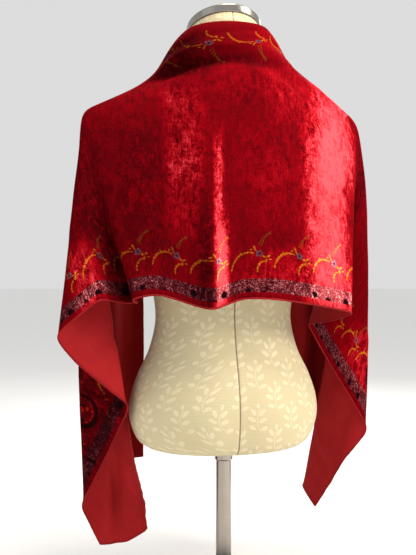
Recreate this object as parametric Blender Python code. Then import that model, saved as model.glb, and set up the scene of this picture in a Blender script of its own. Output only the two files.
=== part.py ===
"""A velvet scarf, draped over a limbless dress form on a short stand.

The scarf is one long rectangle of velvet. Its length runs round the neck and down both fronts (flat
coordinate u, 0 at the nape), its width runs from the folded upper edge down the back (flat coordinate v,
0 at the upper edge, 55 cm at the lower hem). Over each shoulder the cloth turns on one point, the tip, and
from there it falls in folds whose crests and valleys are straight lines from the tip to the cloth's border.
The tables give that border, the line along the shoulders and the folded upper edge in centimetres; functions
below work out every point between them, and a wall of even thickness is laid on the result.

The scarf's back hangs on the form's back, at -Y. The form's underside stands on a pole and a round base.
The origin is at the middle of the base's underside.
"""
import math

import bpy
import numpy as np

CM = 0.01

# driving sizes, in centimetres
SCARF_WIDTH = 55.0
LEFT_REACH = 93.4
RIGHT_REACH = 86.1
CLOTH_THICKNESS = 0.2
STRETCH_CUT = 22.6
SEAM_GAP = 0.07
FIT_GAP = 0.03
FINE_STEP = 0.5
MESH_STEP = 2.0
COLLAR_WIDTH = 8.0
COLLAR_COLUMNS = 7
CREASE_ANGLE = 40

# how the folds are shaped, in centimetres
FOLD_SOFTNESS = 1.0
OUTLINE_SOFTNESS = 5.0
OUTLINE_SAMPLES = 600
FOLD_START = 3.0
FOLD_FULL = 14.0
LEFT_COLLAR_ROLL = 1.5
RIGHT_COLLAR_ROLL = 1.0
FRONT_WAVE = 2.2
TUCK_DEPTH = 1.3
TUCK_SLOPE = 0.9

BASE_RADIUS = 15.0
BASE_THICKNESS = 1.2
HUB_RADIUS = 2.6
HUB_HEIGHT = 3.6
POLE_RADIUS = 1.3
NECK_LEAN = 0.33
CAP_RADIUS = 6.3
CAP_HEIGHT = 1.45
HOLLOW_WIDTH = 3.0
FORM_SIDES = 44
POLE_SIDES = 24


def table(columns, rows):
    """A dictionary of numpy columns from rows of numbers, named by the words in columns."""
    return dict(zip(columns.split(), np.array(rows, dtype=float).T))


# The crease along the shoulders and under the collar: flat place, place in space, and how far the
# back swells out under it.
RIDGE = table("u v x y z swell", [
    (-26.5, 22.0, -23.9, 0.0, 80.7, 0.0),
    (-20.0, 19.6, -18.0, -0.8, 83.1, 3.0),
    (-13.6, 16.8, -12.0, -1.8, 85.7, 4.4),
    (-8.5, 14.2, -8.4, -5.6, 87.8, 3.6),
    (-4.0, 13.0, -4.2, -8.0, 89.3, 2.6),
    (0.0, 12.6, 0.0, -8.8, 89.8, 2.2),
    (4.0, 12.6, 4.2, -8.0, 90.4, 2.4),
    (8.5, 13.0, 8.0, -5.0, 90.4, 3.4),
    (12.5, 14.2, 11.4, -1.4, 89.4, 4.2),
    (19.0, 17.0, 17.4, -0.4, 85.7, 3.4),
    (26.5, 19.9, 24.1, 0.0, 81.0, 0.0),
])

# The hem across the back, with the mid-length crease at x -5.4.
BACK_HEM = table("u x y z", [
    (-19.5, -17.4, -10.9, 49.6),
    (-15.0, -13.6, -11.4, 50.3),
    (-10.0, -9.6, -11.6, 49.3),
    (-7.2, -7.2, -12.2, 48.5),
    (-5.2, -5.4, -13.8, 48.0),
    (-3.2, -3.4, -12.6, 48.4),
    (0.0, -0.4, -11.8, 49.5),
    (5.0, 4.6, -12.6, 49.6),
    (10.0, 9.4, -12.9, 49.0),
    (15.0, 14.2, -11.6, 48.2),
    (20.5, 19.8, -9.6, 47.2),
])

# The folded upper edge, round the neck and down both fronts, and the width tucked in behind it.
UPPER_EDGE = table("u tuck x y z", [
    (-93.4, 0.0, -11.6, 14.4, 20.3),
    (-60.5, 0.0, -11.8, 13.4, 51.0),
    (-49.5, 0.0, -12.0, 14.2, 61.0),
    (-34.0, 0.0, -12.2, 13.4, 75.0),
    (-21.0, 3.6, -11.4, 7.0, 85.6),
    (-14.0, 5.0, -9.0, 2.2, 90.6),
    (-9.5, 5.0, -7.0, -2.0, 94.2),
    (-5.0, 5.0, -5.0, -6.0, 94.7),
    (0.0, 5.0, 0.0, -7.6, 94.9),
    (5.0, 5.0, 5.0, -6.0, 94.8),
    (9.5, 5.0, 6.8, -2.0, 94.4),
    (14.0, 5.0, 9.2, 2.2, 91.6),
    (21.0, 3.6, 11.8, 7.2, 86.4),
    (34.0, 0.0, 12.4, 13.2, 75.4),
    (49.5, 0.0, 12.0, 14.2, 63.0),
    (60.5, 0.0, 11.8, 13.6, 53.0),
    (86.1, 0.0, 11.6, 13.6, 28.6),
])

# The border's fold ends beyond each tip: flat place, place in space, the distance from the tip at which the
# fold has its full depth (0 for a fold that starts at the tip), and how far it bows outwards on its way.
FOLD_COLUMNS = "u v x y z full_at bow"
LEFT_FOLDS = table(FOLD_COLUMNS, [
    (19.5, 55.0, -17.4, -10.9, 49.6, 0, 0.0),    # left edge of the back
    (26.0, 55.0, -15.2, -4.8, 48.9, 34, 0.0),    # valley behind it
    (35.0, 55.0, -22.0, -9.2, 49.7, 30, 0.0),    # crown of the wing
    (45.3, 55.0, -28.6, -7.0, 43.8, 0, 0.0),     # outer edge of the wing
    (63.5, 55.0, -16.5, -4.0, 32.3, 30, 0.0),    # return beside the hip
    (84.2, 55.0, -23.8, 4.0, 14.6, 0, 1.5),      # outer edge of the end
    (93.4, 55.0, -20.2, 7.0, 7.0, 40, 0.15),     # lower corner
    (93.4, 50.0, -15.6, 7.4, 6.9, 48, 0.1),      # lowest part of the rounded end
    (93.4, 45.0, -11.6, 7.8, 9.0, 55, 0.0),
    (93.4, 38.0, -16.8, 12.0, 10.8, 50, 0.0),
    (93.4, 30.0, -16.4, 14.6, 13.2, 50, 0.0),
    (93.4, 20.0, -22.5, 19.5, 16.5, 0, 0.0),     # outer edge of the front
])
RIGHT_FOLDS = table(FOLD_COLUMNS, [
    (20.5, 55.0, 19.8, -9.6, 47.2, 0, 0.0),      # right edge of the back
    (36.0, 55.0, 15.4, 1.2, 45.0, 28, 0.5),      # inner corner, where the reverse turns back
    (68.7, 55.0, 25.7, -1.5, 26.4, 0, 1.6),      # outer edge of the side
    (75.1, 55.0, 22.2, 1.1, 20.9, 34, 2.4),      # dent above the lower corner
    (86.1, 55.0, 18.5, 5.6, 11.6, 40, 1.2),      # lower corner
    (86.1, 49.5, 16.9, 9.0, 15.0, 40, 0.85),
    (86.1, 39.0, 25.0, 11.5, 17.0, 50, 0.5),
    (86.1, 30.0, 20.5, 14.8, 19.5, 50, 0.25),
    (86.1, 19.9, 26.0, 19.5, 23.0, 0, 0.0),      # outer edge of the front
])

# The dress form: height at the middle of a section, half width, depth behind and in front, squareness, lean
# (drop of the section for each centimetre forwards), and depth of the hollow down the middle of the back.
FORM = table("z half_width back front squareness lean hollow", [
    (24.3, 11.5, 8.0, 7.0, 2.1, 0.0, 0.0),
    (24.9, 13.2, 9.8, 8.6, 2.1, 0.0, 0.3),
    (26.3, 14.8, 10.9, 9.8, 2.1, 0.0, 0.5),
    (29.5, 16.0, 11.6, 10.4, 2.1, 0.0, 0.6),
    (33.0, 15.9, 11.5, 10.6, 2.1, 0.0, 0.5),
    (37.0, 14.6, 10.4, 10.2, 2.1, 0.0, 0.3),
    (41.0, 12.7, 8.9, 9.5, 2.1, 0.0, 0.3),
    (46.0, 11.6, 7.8, 9.0, 2.1, 0.0, 0.3),
    (51.0, 12.1, 8.3, 9.3, 2.1, 0.0, 0.3),
    (57.0, 13.2, 9.3, 10.4, 2.2, 0.0, 0.3),
    (63.0, 14.2, 10.0, 12.3, 2.3, 0.0, 0.3),
    (68.0, 15.2, 10.3, 12.8, 2.4, 0.0, 0.2),
    (72.0, 17.0, 9.9, 11.6, 2.4, 0.0, 0.1),
    (75.0, 18.6, 8.8, 10.0, 2.3, 0.0, 0.0),
    (77.5, 19.4, 7.4, 8.4, 2.2, 0.0, 0.0),
    (79.4, 19.3, 6.3, 6.8, 2.1, 0.0, 0.0),
    (80.9, 18.6, 5.8, 5.8, 2.0, 0.0, 0.0),
    (82.6, 16.8, 5.9, 5.2, 2.0, 0.0, 0.0),
    (84.4, 13.75, 6.36, 4.9, 2.0, 0.0, 0.0),
    (86.0, 10.6, 6.4, 4.9, 2.0, 0.03, 0.0),
    (87.7, 8.2, 6.3, 5.1, 2.0, 0.08, 0.0),
    (90.0, 6.8, 6.4, 5.5, 2.0, 0.18, 0.0),
    (92.2, 6.4, 6.72, 5.8, 2.0, 0.28, 0.0),
    (94.3, 6.1, 6.15, 5.9, 2.0, NECK_LEAN, 0.0),
])

# Turned profiles of the neck cap, from the top of the neck, and of the base plate, from the floor.
NECK_CAP = table("radius height", [
    (CAP_RADIUS - 0.7, 0.0),
    (CAP_RADIUS - 0.15, 0.02),
    (CAP_RADIUS, 0.2),
    (CAP_RADIUS, CAP_HEIGHT - 0.35),
    (CAP_RADIUS - 0.2, CAP_HEIGHT - 0.08),
    (CAP_RADIUS - 0.6, CAP_HEIGHT),
    (3.4, CAP_HEIGHT + 0.25),
    (1.2, CAP_HEIGHT + 0.33),
])
BASE_PLATE = table("radius height", [
    (BASE_RADIUS - 0.2, 0.0),
    (BASE_RADIUS, 0.2),
    (BASE_RADIUS, BASE_THICKNESS - 0.3),
    (BASE_RADIUS - 0.3, BASE_THICKNESS),
    (HUB_RADIUS + 0.5, BASE_THICKNESS + 0.3),
    (HUB_RADIUS, BASE_THICKNESS + 0.9),
    (HUB_RADIUS - 0.5, HUB_HEIGHT),
])


def smooth_step(x, low, high):
    """0 below low, 1 above high, and an even S between them."""
    t = np.clip((x - low) / (high - low), 0, 1)
    return t * t * (3 - 2 * t)


def hump(share, rise, fall):
    """0 at both ends and 1 at its top, which lies at rise / (rise + fall)."""
    top = rise / (rise + fall)
    share = np.clip(share, 0, 1)
    return share**rise * (1 - share) ** fall / (top**rise * (1 - top) ** fall)


def curve(rows, along, name, x):
    """The smooth curve of one column of a table over another, read at x; it passes through every row."""
    t, p = rows[along], rows[name]
    slope = np.gradient(p, t)
    x = np.clip(x, t[0], t[-1])
    i = np.clip(np.searchsorted(t, x) - 1, 0, len(t) - 2)
    h = t[i + 1] - t[i]
    s = (x - t[i]) / h
    start = (2 * s**3 - 3 * s**2 + 1) * p[i] + (s**3 - 2 * s**2 + s) * h * slope[i]
    return start + (3 * s**2 - 2 * s**3) * p[i + 1] + (s**3 - s**2) * h * slope[i + 1]


def point_on(rows, u):
    """The curve's x, y and z at flat length u."""
    return np.stack([curve(rows, "u", name, u) for name in "xyz"], -1)


def soften(values, sigma, axis, step):
    """Gaussian smoothing along one axis of a grid; the ends stay in place."""
    n = math.ceil(3 * sigma / step)
    weights = np.exp(-0.5 * (np.arange(-n, n + 1) * step / sigma) ** 2)
    weights /= weights.sum()
    values = np.moveaxis(values, axis, 0)
    head = 2 * values[:1] - values[1:n + 1][::-1]
    tail = 2 * values[-1:] - values[-n - 1:-1][::-1]
    padded = np.concatenate([head, values, tail])
    result = sum(w * padded[i:i + len(values)] for i, w in enumerate(weights))
    return np.moveaxis(result, 0, axis)


def unit(vectors):
    """The same directions with length 1."""
    return vectors / np.linalg.norm(vectors, axis=-1, keepdims=True)


class Side:
    """One side of the scarf, from the nape over the shoulder to the end."""

    def __init__(self, sign, folds, reach, collar_roll):
        tip_row = 0 if sign < 0 else -1
        self.collar_roll = collar_roll
        self.sign = sign
        self.reach = reach
        self.folds = folds
        self.tip = np.array([RIDGE[name][tip_row] for name in "xyz"])
        self.tip_u = abs(RIDGE["u"][tip_row])
        self.tip_v = RIDGE["v"][tip_row]
        self.drop = SCARF_WIDTH - self.tip_v
        self.run = reach - self.tip_u
        # place along the border, measured from straight below the tip, round the corner and up the end
        at_hem = folds["v"] >= SCARF_WIDTH
        self.border = np.where(at_hem, folds["u"] - self.tip_u, self.run + SCARF_WIDTH - folds["v"])

    def crease(self, u):
        """The ridge as far as the tip, then the straight line from the tip to the last fold's end."""
        last = np.array([self.folds[name][-1] for name in "xyz"])
        share = np.clip((np.abs(u) - self.tip_u) / self.run, 0, 1)[..., None]
        beyond = np.abs(u) > self.tip_u
        place = np.where(beyond[..., None], self.tip + share * (last - self.tip), point_on(RIDGE, u))
        return place, np.where(beyond, self.tip_v, curve(RIDGE, "u", "v", u))

    def upper_band(self, u, v, place, crease_v):
        """From the folded upper edge to the crease: the collar's roll at the neck, waves down the front."""
        edge = point_on(UPPER_EDGE, u)
        tuck = np.clip(curve(UPPER_EDGE, "u", "tuck", u), 0, None)
        share = np.clip((v - tuck) / (crease_v - tuck), 0, 1)[..., None]
        band = edge + share * (place - edge)
        level = np.array([1.0, 1.0, 0.0])
        roll = self.collar_roll * (1 - smooth_step(np.abs(u), 9, 17))[..., None] * np.sin(np.pi * share)
        wave = FRONT_WAVE * smooth_step(np.abs(u), 12, 40)[..., None] * np.sin(3 * np.pi * share)
        band = band + roll * unit(place * level) + wave * np.sqrt(np.sin(np.pi * share)) * [0.0, 1.0, 0.0]
        # the tucked width runs back down inside the fold
        inside = np.clip(tuck - v, 0, None)[..., None]
        tucked = edge + TUCK_SLOPE * inside * unit(place - edge)
        tucked = tucked - np.minimum(inside, TUCK_DEPTH) * unit(edge * level)
        return np.where((v < tuck)[..., None], tucked, band)

    def fan(self, u, v):
        """The folds below and beyond the tip: straight rays, zigzag round the border, softer near the tip."""
        across, down = np.abs(u) - self.tip_u, v - self.tip_v
        distance = np.hypot(across, down)
        angle = np.clip(np.arctan2(across, down), -1.2, math.pi / 2)
        corner = math.atan2(self.run, self.drop)
        hem_angle, end_angle = np.minimum(angle, corner), np.maximum(angle, corner)
        to_hem = angle <= corner
        whole = np.where(to_hem, self.drop / np.cos(hem_angle), self.run / np.sin(end_angle))
        along_end = self.run + self.drop - self.run / np.tan(end_angle)
        place = np.where(to_hem, self.drop * np.tan(hem_angle), along_end)
        # the straight-sided outline through the folds that start at the tip, its corners eased
        ends = np.stack([self.folds[name] for name in "xyz"], -1)
        main = self.folds["full_at"] == 0
        samples = np.linspace(self.border[0], self.border[-1], OUTLINE_SAMPLES)
        outline = np.stack([np.interp(samples, self.border[main], ends[main, k]) for k in range(3)], -1)
        outline = soften(outline, OUTLINE_SOFTNESS, 0, samples[1] - samples[0])
        reached = np.stack([np.interp(place, samples, outline[:, k]) for k in range(3)], -1)
        # each fold pulls the outline to its own end, more and more with the distance from the tip
        for k, full_at in enumerate(self.folds["full_at"]):
            apex = np.zeros(len(self.border))
            apex[k] = 1.0
            pull = ends[k] - [np.interp(self.border[k], samples, outline[:, axis]) for axis in range(3)]
            depth = np.interp(place, self.border, apex)
            depth = depth * smooth_step(distance, FOLD_START, max(full_at, FOLD_FULL))
            reached = reached + depth[..., None] * pull
        share = np.clip(distance / whole, 0, 1.2)
        lengths = np.interp(place, self.border, np.linalg.norm(ends - self.tip, axis=-1))
        result = self.tip + (share * lengths)[..., None] * unit(reached - self.tip)
        bow = np.interp(place, self.border, self.folds["bow"])
        result[..., 0] += self.sign * bow * hump(share, 0.7, 1.1)
        return result, angle

    def back(self, u, v):
        """The back below the ridge: straight lines from the ridge to the hem, swelling out near the top."""
        spread = self.border[0] / self.tip_u + 1.0
        top_u = np.abs(u)
        for _ in range(4):
            top_v = curve(RIDGE, "u", "v", self.sign * np.minimum(top_u, self.tip_u))
            share = np.clip((v - top_v) / (SCARF_WIDTH - top_v), 0, 1)
            top_u = np.abs(u) / (1 - share + share * spread)
        top_u = self.sign * np.minimum(top_u, self.tip_u)
        top_v = curve(RIDGE, "u", "v", top_u)
        share = np.clip((v - top_v) / (SCARF_WIDTH - top_v), 0, 1)
        top, hem = point_on(RIDGE, top_u), point_on(BACK_HEM, top_u * spread)
        swell = curve(RIDGE, "u", "swell", top_u) * hump(share, 0.6, 1.4)
        return top + share[..., None] * (hem - top) - swell[..., None] * [0.0, 1.0, 0.0]

    def surface(self, u, v):
        """The middle of the cloth at flat places u and v."""
        place, crease_v = self.crease(u)
        fan, angle = self.fan(u, v)
        in_back = angle < math.atan2(self.border[0], self.drop)
        lower = np.where(in_back[..., None], self.back(u, v), fan)
        return np.where((v < crease_v)[..., None], self.upper_band(u, v, place, crease_v), lower)


def scarf_surface():
    """The cloth's middle surface on a fine grid: flat lengths, flat widths and points, in centimetres."""
    lengths = np.arange(-LEFT_REACH, RIGHT_REACH + FINE_STEP / 2, FINE_STEP)
    widths = np.linspace(0, SCARF_WIDTH, round(SCARF_WIDTH / FINE_STEP) + 1)
    u, v = np.meshgrid(lengths, widths, indexing="ij")
    left = Side(-1, LEFT_FOLDS, LEFT_REACH, LEFT_COLLAR_ROLL)
    right = Side(1, RIGHT_FOLDS, RIGHT_REACH, RIGHT_COLLAR_ROLL)
    on_left = lengths < 0
    points = [left.surface(u[on_left], v[on_left]), right.surface(u[~on_left], v[~on_left])]
    points = np.concatenate(points)
    for axis in (0, 1):
        points = soften(points, FOLD_SOFTNESS, axis, FINE_STEP)
    return lengths, widths, points


def read_grid(grid, rows, columns, row_at, column_at):
    """A grid of vectors read between its points, straight along each axis."""
    i = np.clip(np.searchsorted(rows, row_at) - 1, 0, len(rows) - 2)
    j = np.clip(np.searchsorted(columns, column_at) - 1, 0, len(columns) - 2)
    s = ((row_at - rows[i]) / (rows[i + 1] - rows[i]))[:, None, None]
    t = ((column_at - columns[j]) / (columns[j + 1] - columns[j]))[None, :, None]
    near = grid[i] * (1 - s) + grid[i + 1] * s
    return near[:, j] * (1 - t) + near[:, j + 1] * t


def material(name, colour, roughness, metallic=0.0):
    """A plain Principled material."""
    made = bpy.data.materials.new(name)
    made.use_nodes = True
    shader = made.node_tree.nodes["Principled BSDF"]
    shader.inputs["Base Color"].default_value = (*colour, 1.0)
    shader.inputs["Roughness"].default_value = roughness
    shader.inputs["Metallic"].default_value = metallic
    return made


def add_object(name, points, faces, finish, parent):
    """One named object from points in centimetres and faces of point numbers."""
    mesh = bpy.data.meshes.new(name)
    mesh.from_pydata((np.asarray(points) * CM).tolist(), [], faces)
    mesh.materials.append(finish)
    mesh.validate()
    mesh.shade_smooth()
    mesh.set_sharp_from_angle(angle=math.radians(CREASE_ANGLE))
    made = bpy.data.objects.new(name, mesh)
    made.parent = parent
    bpy.context.scene.collection.objects.link(made)
    return made


def cloth_wall(name, surface, start, end, finish, parent):
    """A closed wall on the cloth's middle surface between two flat lengths."""
    lengths, widths, points = surface
    rows = np.linspace(start, end, round((end - start) / MESH_STEP) + 1)
    fold_zone = np.linspace(0, COLLAR_WIDTH, COLLAR_COLUMNS)
    below = np.linspace(COLLAR_WIDTH, SCARF_WIDTH, round((SCARF_WIDTH - COLLAR_WIDTH) / MESH_STEP) + 1)
    columns = np.concatenate([fold_zone, below[1:]])
    normals = unit(np.cross(np.gradient(points, axis=1), np.gradient(points, axis=0)))
    middle = read_grid(points, lengths, widths, rows, columns)
    outwards = unit(read_grid(normals, lengths, widths, rows, columns))
    half = CLOTH_THICKNESS / 2
    n, m = len(rows), len(columns)
    index = np.arange(2 * n * m).reshape(2, n, m)
    outer, inner = index[0], index[1]
    faces = []
    for i in range(n - 1):
        for j in range(m - 1):
            faces.append((outer[i, j], outer[i, j + 1], outer[i + 1, j + 1], outer[i + 1, j]))
            faces.append((inner[i, j], inner[i + 1, j], inner[i + 1, j + 1], inner[i, j + 1]))
    border = [(i, 0) for i in range(n)] + [(n - 1, j) for j in range(1, m)]
    border += [(i, m - 1) for i in range(n - 2, -1, -1)] + [(0, j) for j in range(m - 2, 0, -1)]
    # rims facing each other across a seam are split along the same diagonal, so that they stay parallel
    for here, after in zip(border, border[1:] + border[:1]):
        a, b, c, d = outer[here], outer[after], inner[after], inner[here]
        faces += [(a, b, c), (a, c, d)] if here < after else [(a, b, d), (b, c, d)]
    both = np.concatenate([middle + half * outwards, middle - half * outwards]).reshape(-1, 3)
    return add_object(name, both, [tuple(int(k) for k in face) for face in faces], finish, parent)


def loft(name, rings, finish, parent):
    """A closed solid through rings of points, the lowest first, each anticlockwise seen from above."""
    count, around = len(rings), len(rings[0])
    faces = [tuple(reversed(range(around)))]
    for k in range(count - 1):
        for j in range(around):
            after = (j + 1) % around
            low, high = k * around, (k + 1) * around
            faces.append((low + j, low + after, high + after, high + j))
    faces.append(tuple(range((count - 1) * around, count * around)))
    return add_object(name, np.concatenate(rings), faces, finish, parent)


def form_ring(z, half_width, back, front, squareness, lean, hollow):
    """One section of the dress form: a superellipse, deeper behind or in front, hollowed down the back."""
    angle = np.linspace(0, 2 * np.pi, FORM_SIDES, endpoint=False)
    c, s = np.cos(angle), np.sin(angle)
    x = half_width * np.sign(c) * np.abs(c) ** (2 / squareness)
    depth = np.where(s < 0, back, front)
    y = depth * np.sign(s) * np.abs(s) ** (2 / squareness)
    y = y + np.where(s < 0, hollow * np.exp(-((x / HOLLOW_WIDTH) ** 2)) * np.abs(s), 0.0)
    return np.stack([x, y, z - lean * y], -1)


def round_ring(radius, z, lean=0.0, around=FORM_SIDES):
    """A circle about the Z axis, dropping forwards by its lean."""
    angle = np.linspace(0, 2 * np.pi, around, endpoint=False)
    x, y = radius * np.cos(angle), radius * np.sin(angle)
    return np.stack([x, y, z - lean * y], -1)


def build_form(parent):
    """The dress form: body and neck in one, the metal neck cap, the pole and the round base."""
    cover = material("cream_jersey", (0.66, 0.60, 0.44), 0.8)
    steel = material("polished_steel", (0.32, 0.33, 0.35), 0.22, 1.0)
    enamel = material("black_enamel", (0.02, 0.02, 0.022), 0.4)
    sections = [form_ring(*row) for row in zip(*FORM.values())]
    loft("form_body", sections, cover, parent)

    neck_top = FORM["z"][-1] + FIT_GAP
    rings = [round_ring(radius, neck_top + height, NECK_LEAN) for radius, height in zip(*NECK_CAP.values())]
    loft("neck_cap", rings, steel, parent)

    loft("base_plate", [round_ring(*row) for row in zip(*BASE_PLATE.values())], enamel, parent)
    pole_ends = (HUB_HEIGHT + FIT_GAP, FORM["z"][0] - FIT_GAP)
    loft("pole", [round_ring(POLE_RADIUS, z, around=POLE_SIDES) for z in pole_ends], steel, parent)


def build_scarf(parent):
    """The scarf in the three stretches that show: the left end, the back with the collar, the right end."""
    velvet = material("crimson_velvet", (0.38, 0.006, 0.014), 0.75)
    surface = scarf_surface()
    half_gap = SEAM_GAP / 2
    cloth_wall("scarf_left_end", surface, -LEFT_REACH, -STRETCH_CUT - half_gap, velvet, parent)
    cloth_wall("scarf_back", surface, -STRETCH_CUT + half_gap, STRETCH_CUT - half_gap, velvet, parent)
    cloth_wall("scarf_right_end", surface, STRETCH_CUT + half_gap, RIGHT_REACH, velvet, parent)


def main():
    for old in list(bpy.data.objects):
        bpy.data.objects.remove(old)
    parent = bpy.data.objects.new("scarf_on_form", None)
    bpy.context.scene.collection.objects.link(parent)
    build_form(parent)
    build_scarf(parent)


main()
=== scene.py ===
# %% [markdown]
# # A velvet scarf on a dress form
# The real thing is one long rectangle of crushed velvet with a printed border and a narrow rolled hem. It
# is folded round the neck of a dress form, lies over the shoulders and hangs down behind and in front.
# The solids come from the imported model, which gives every size and place. This script gives the looks: a
# thin cloth with its soft folds, a hem, the form's woven cover, metal and enamel, and a plain studio.

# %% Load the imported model
import math

import bpy
import numpy as np
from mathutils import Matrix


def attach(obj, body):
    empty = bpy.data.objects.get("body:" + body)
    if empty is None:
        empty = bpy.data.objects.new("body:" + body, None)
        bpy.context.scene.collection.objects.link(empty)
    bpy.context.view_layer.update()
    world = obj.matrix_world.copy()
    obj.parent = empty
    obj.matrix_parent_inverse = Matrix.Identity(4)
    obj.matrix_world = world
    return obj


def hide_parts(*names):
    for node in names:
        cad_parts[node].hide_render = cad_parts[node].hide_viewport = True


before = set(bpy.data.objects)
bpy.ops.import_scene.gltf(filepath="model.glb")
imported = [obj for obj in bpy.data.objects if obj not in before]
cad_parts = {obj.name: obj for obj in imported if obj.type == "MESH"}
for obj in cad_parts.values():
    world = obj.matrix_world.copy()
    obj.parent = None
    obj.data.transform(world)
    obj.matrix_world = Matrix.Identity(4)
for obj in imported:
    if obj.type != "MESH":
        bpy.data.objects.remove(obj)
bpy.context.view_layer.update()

CM = 0.01
MM = 0.1
print("nodes", sorted(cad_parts))

# %% [markdown]
# ## The cloth's sizes
# All lengths in this script are centimetres, as a dressmaker would measure them, and MM is a millimetre in
# that unit. The scarf is described on the flat: u runs along its length from the nape, v runs across its
# width from the upper edge. The tables are the same as the model's. They hold where the crease along the
# shoulders, the hem and the ends of the folds lie in space, because those lines carry the whole drape.

# %% Sizes and tables of the drape
SCARF_WIDTH = 55.0
LEFT_REACH = 93.4
RIGHT_REACH = 86.1
OUTLINE_SOFTNESS = 5.0
OUTLINE_SAMPLES = 600
TOP_ROUNDS = 4
FOLD_START = 3.0
FOLD_FULL = 14.0
LEFT_COLLAR_ROLL = 1.5
RIGHT_COLLAR_ROLL = 1.0
FRONT_WAVE = 2.2
TUCK_DEPTH = 1.3
TUCK_SLOPE = 0.9


def table(columns, rows):
    """A dictionary of numpy columns from rows of numbers, named by the words in columns."""
    return dict(zip(columns.split(), np.array(rows, dtype=float).T))


RIDGE = table("u v x y z swell", [
    (-26.5, 22.0, -23.9, 0.0, 80.7, 0.0),
    (-20.0, 19.6, -18.0, -0.8, 83.1, 3.0),
    (-13.6, 16.8, -12.0, -1.8, 85.7, 4.4),
    (-8.5, 14.2, -8.4, -5.6, 87.8, 3.6),
    (-4.0, 13.0, -4.2, -8.0, 89.3, 2.6),
    (0.0, 12.6, 0.0, -8.8, 89.8, 2.2),
    (4.0, 12.6, 4.2, -8.0, 90.4, 2.4),
    (8.5, 13.0, 8.0, -5.0, 90.4, 3.4),
    (12.5, 14.2, 11.4, -1.4, 89.4, 4.2),
    (19.0, 17.0, 17.4, -0.4, 85.7, 3.4),
    (26.5, 19.9, 24.1, 0.0, 81.0, 0.0),
])
BACK_HEM = table("u x y z", [
    (-19.5, -17.4, -10.9, 49.6),
    (-15.0, -13.6, -11.4, 50.3),
    (-10.0, -9.6, -11.6, 49.3),
    (-7.2, -7.2, -12.2, 48.5),
    (-5.2, -5.4, -13.8, 48.0),
    (-3.2, -3.4, -12.6, 48.4),
    (0.0, -0.4, -11.8, 49.5),
    (5.0, 4.6, -12.6, 49.6),
    (10.0, 9.4, -12.9, 49.0),
    (15.0, 14.2, -11.6, 48.2),
    (20.5, 19.8, -9.6, 47.2),
])
UPPER_EDGE = table("u tuck x y z", [
    (-93.4, 0.0, -11.6, 14.4, 20.3),
    (-60.5, 0.0, -11.8, 13.4, 51.0),
    (-49.5, 0.0, -12.0, 14.2, 61.0),
    (-34.0, 0.0, -12.2, 13.4, 75.0),
    (-21.0, 3.6, -11.4, 7.0, 85.6),
    (-14.0, 5.0, -9.0, 2.2, 90.6),
    (-9.5, 5.0, -7.0, -2.0, 94.2),
    (-5.0, 5.0, -5.0, -6.0, 94.7),
    (0.0, 5.0, 0.0, -7.6, 94.9),
    (5.0, 5.0, 5.0, -6.0, 94.8),
    (9.5, 5.0, 6.8, -2.0, 94.4),
    (14.0, 5.0, 9.2, 2.2, 91.6),
    (21.0, 3.6, 11.8, 7.2, 86.4),
    (34.0, 0.0, 12.4, 13.2, 75.4),
    (49.5, 0.0, 12.0, 14.2, 63.0),
    (60.5, 0.0, 11.8, 13.6, 53.0),
    (86.1, 0.0, 11.6, 13.6, 28.6),
])
FOLD_COLUMNS = "u v x y z full_at bow"
LEFT_FOLDS = table(FOLD_COLUMNS, [
    (19.5, 55.0, -17.4, -10.9, 49.6, 0, 0.0),
    (26.0, 55.0, -15.2, -4.8, 48.9, 34, 0.0),
    (35.0, 55.0, -22.0, -9.2, 49.7, 30, 0.0),
    (45.3, 55.0, -28.6, -7.0, 43.8, 0, 0.0),
    (63.5, 55.0, -16.5, -4.0, 32.3, 30, 0.0),
    (84.2, 55.0, -23.8, 4.0, 14.6, 0, 1.5),
    (93.4, 55.0, -20.2, 7.0, 7.0, 40, 0.15),
    (93.4, 50.0, -15.6, 7.4, 6.9, 48, 0.1),
    (93.4, 45.0, -11.6, 7.8, 9.0, 55, 0.0),
    (93.4, 38.0, -16.8, 12.0, 10.8, 50, 0.0),
    (93.4, 30.0, -16.4, 14.6, 13.2, 50, 0.0),
    (93.4, 20.0, -22.5, 19.5, 16.5, 0, 0.0),
])
RIGHT_FOLDS = table(FOLD_COLUMNS, [
    (20.5, 55.0, 19.8, -9.6, 47.2, 0, 0.0),
    (36.0, 55.0, 15.4, 1.2, 45.0, 28, 0.5),
    (68.7, 55.0, 25.7, -1.5, 26.4, 0, 1.6),
    (75.1, 55.0, 22.2, 1.1, 20.9, 34, 2.4),
    (86.1, 55.0, 18.5, 5.6, 11.6, 40, 1.2),
    (86.1, 49.5, 16.9, 9.0, 15.0, 40, 0.85),
    (86.1, 39.0, 25.0, 11.5, 17.0, 50, 0.5),
    (86.1, 30.0, 20.5, 14.8, 19.5, 50, 0.25),
    (86.1, 19.9, 26.0, 19.5, 23.0, 0, 0.0),
])
print("scarf on the flat", SCARF_WIDTH, "by", LEFT_REACH + RIGHT_REACH, "cm")

# %% [markdown]
# ## Curves and folds
# A few small tools come first: an S-shaped step, a hump, a curve through the rows of a table, and a soft
# blur along one direction of a grid. They work on whole arrays, so no loop visits single points.

# %% Small tools for curves
def smooth_step(x, low, high):
    """0 below low and 1 above high; between them t is the share of the way, and the value 3 t^2 - 2 t^3."""
    t = np.clip((x - low) / (high - low), 0, 1)
    return t * t * (3 - 2 * t)


def hump(share, rise, fall):
    """share^rise times (1 - share)^fall, divided by its own top: 0 at both ends and 1 at the top."""
    top = rise / (rise + fall)
    share = np.clip(share, 0, 1)
    return share**rise * (1 - share) ** fall / (top**rise * (1 - top) ** fall)


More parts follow.
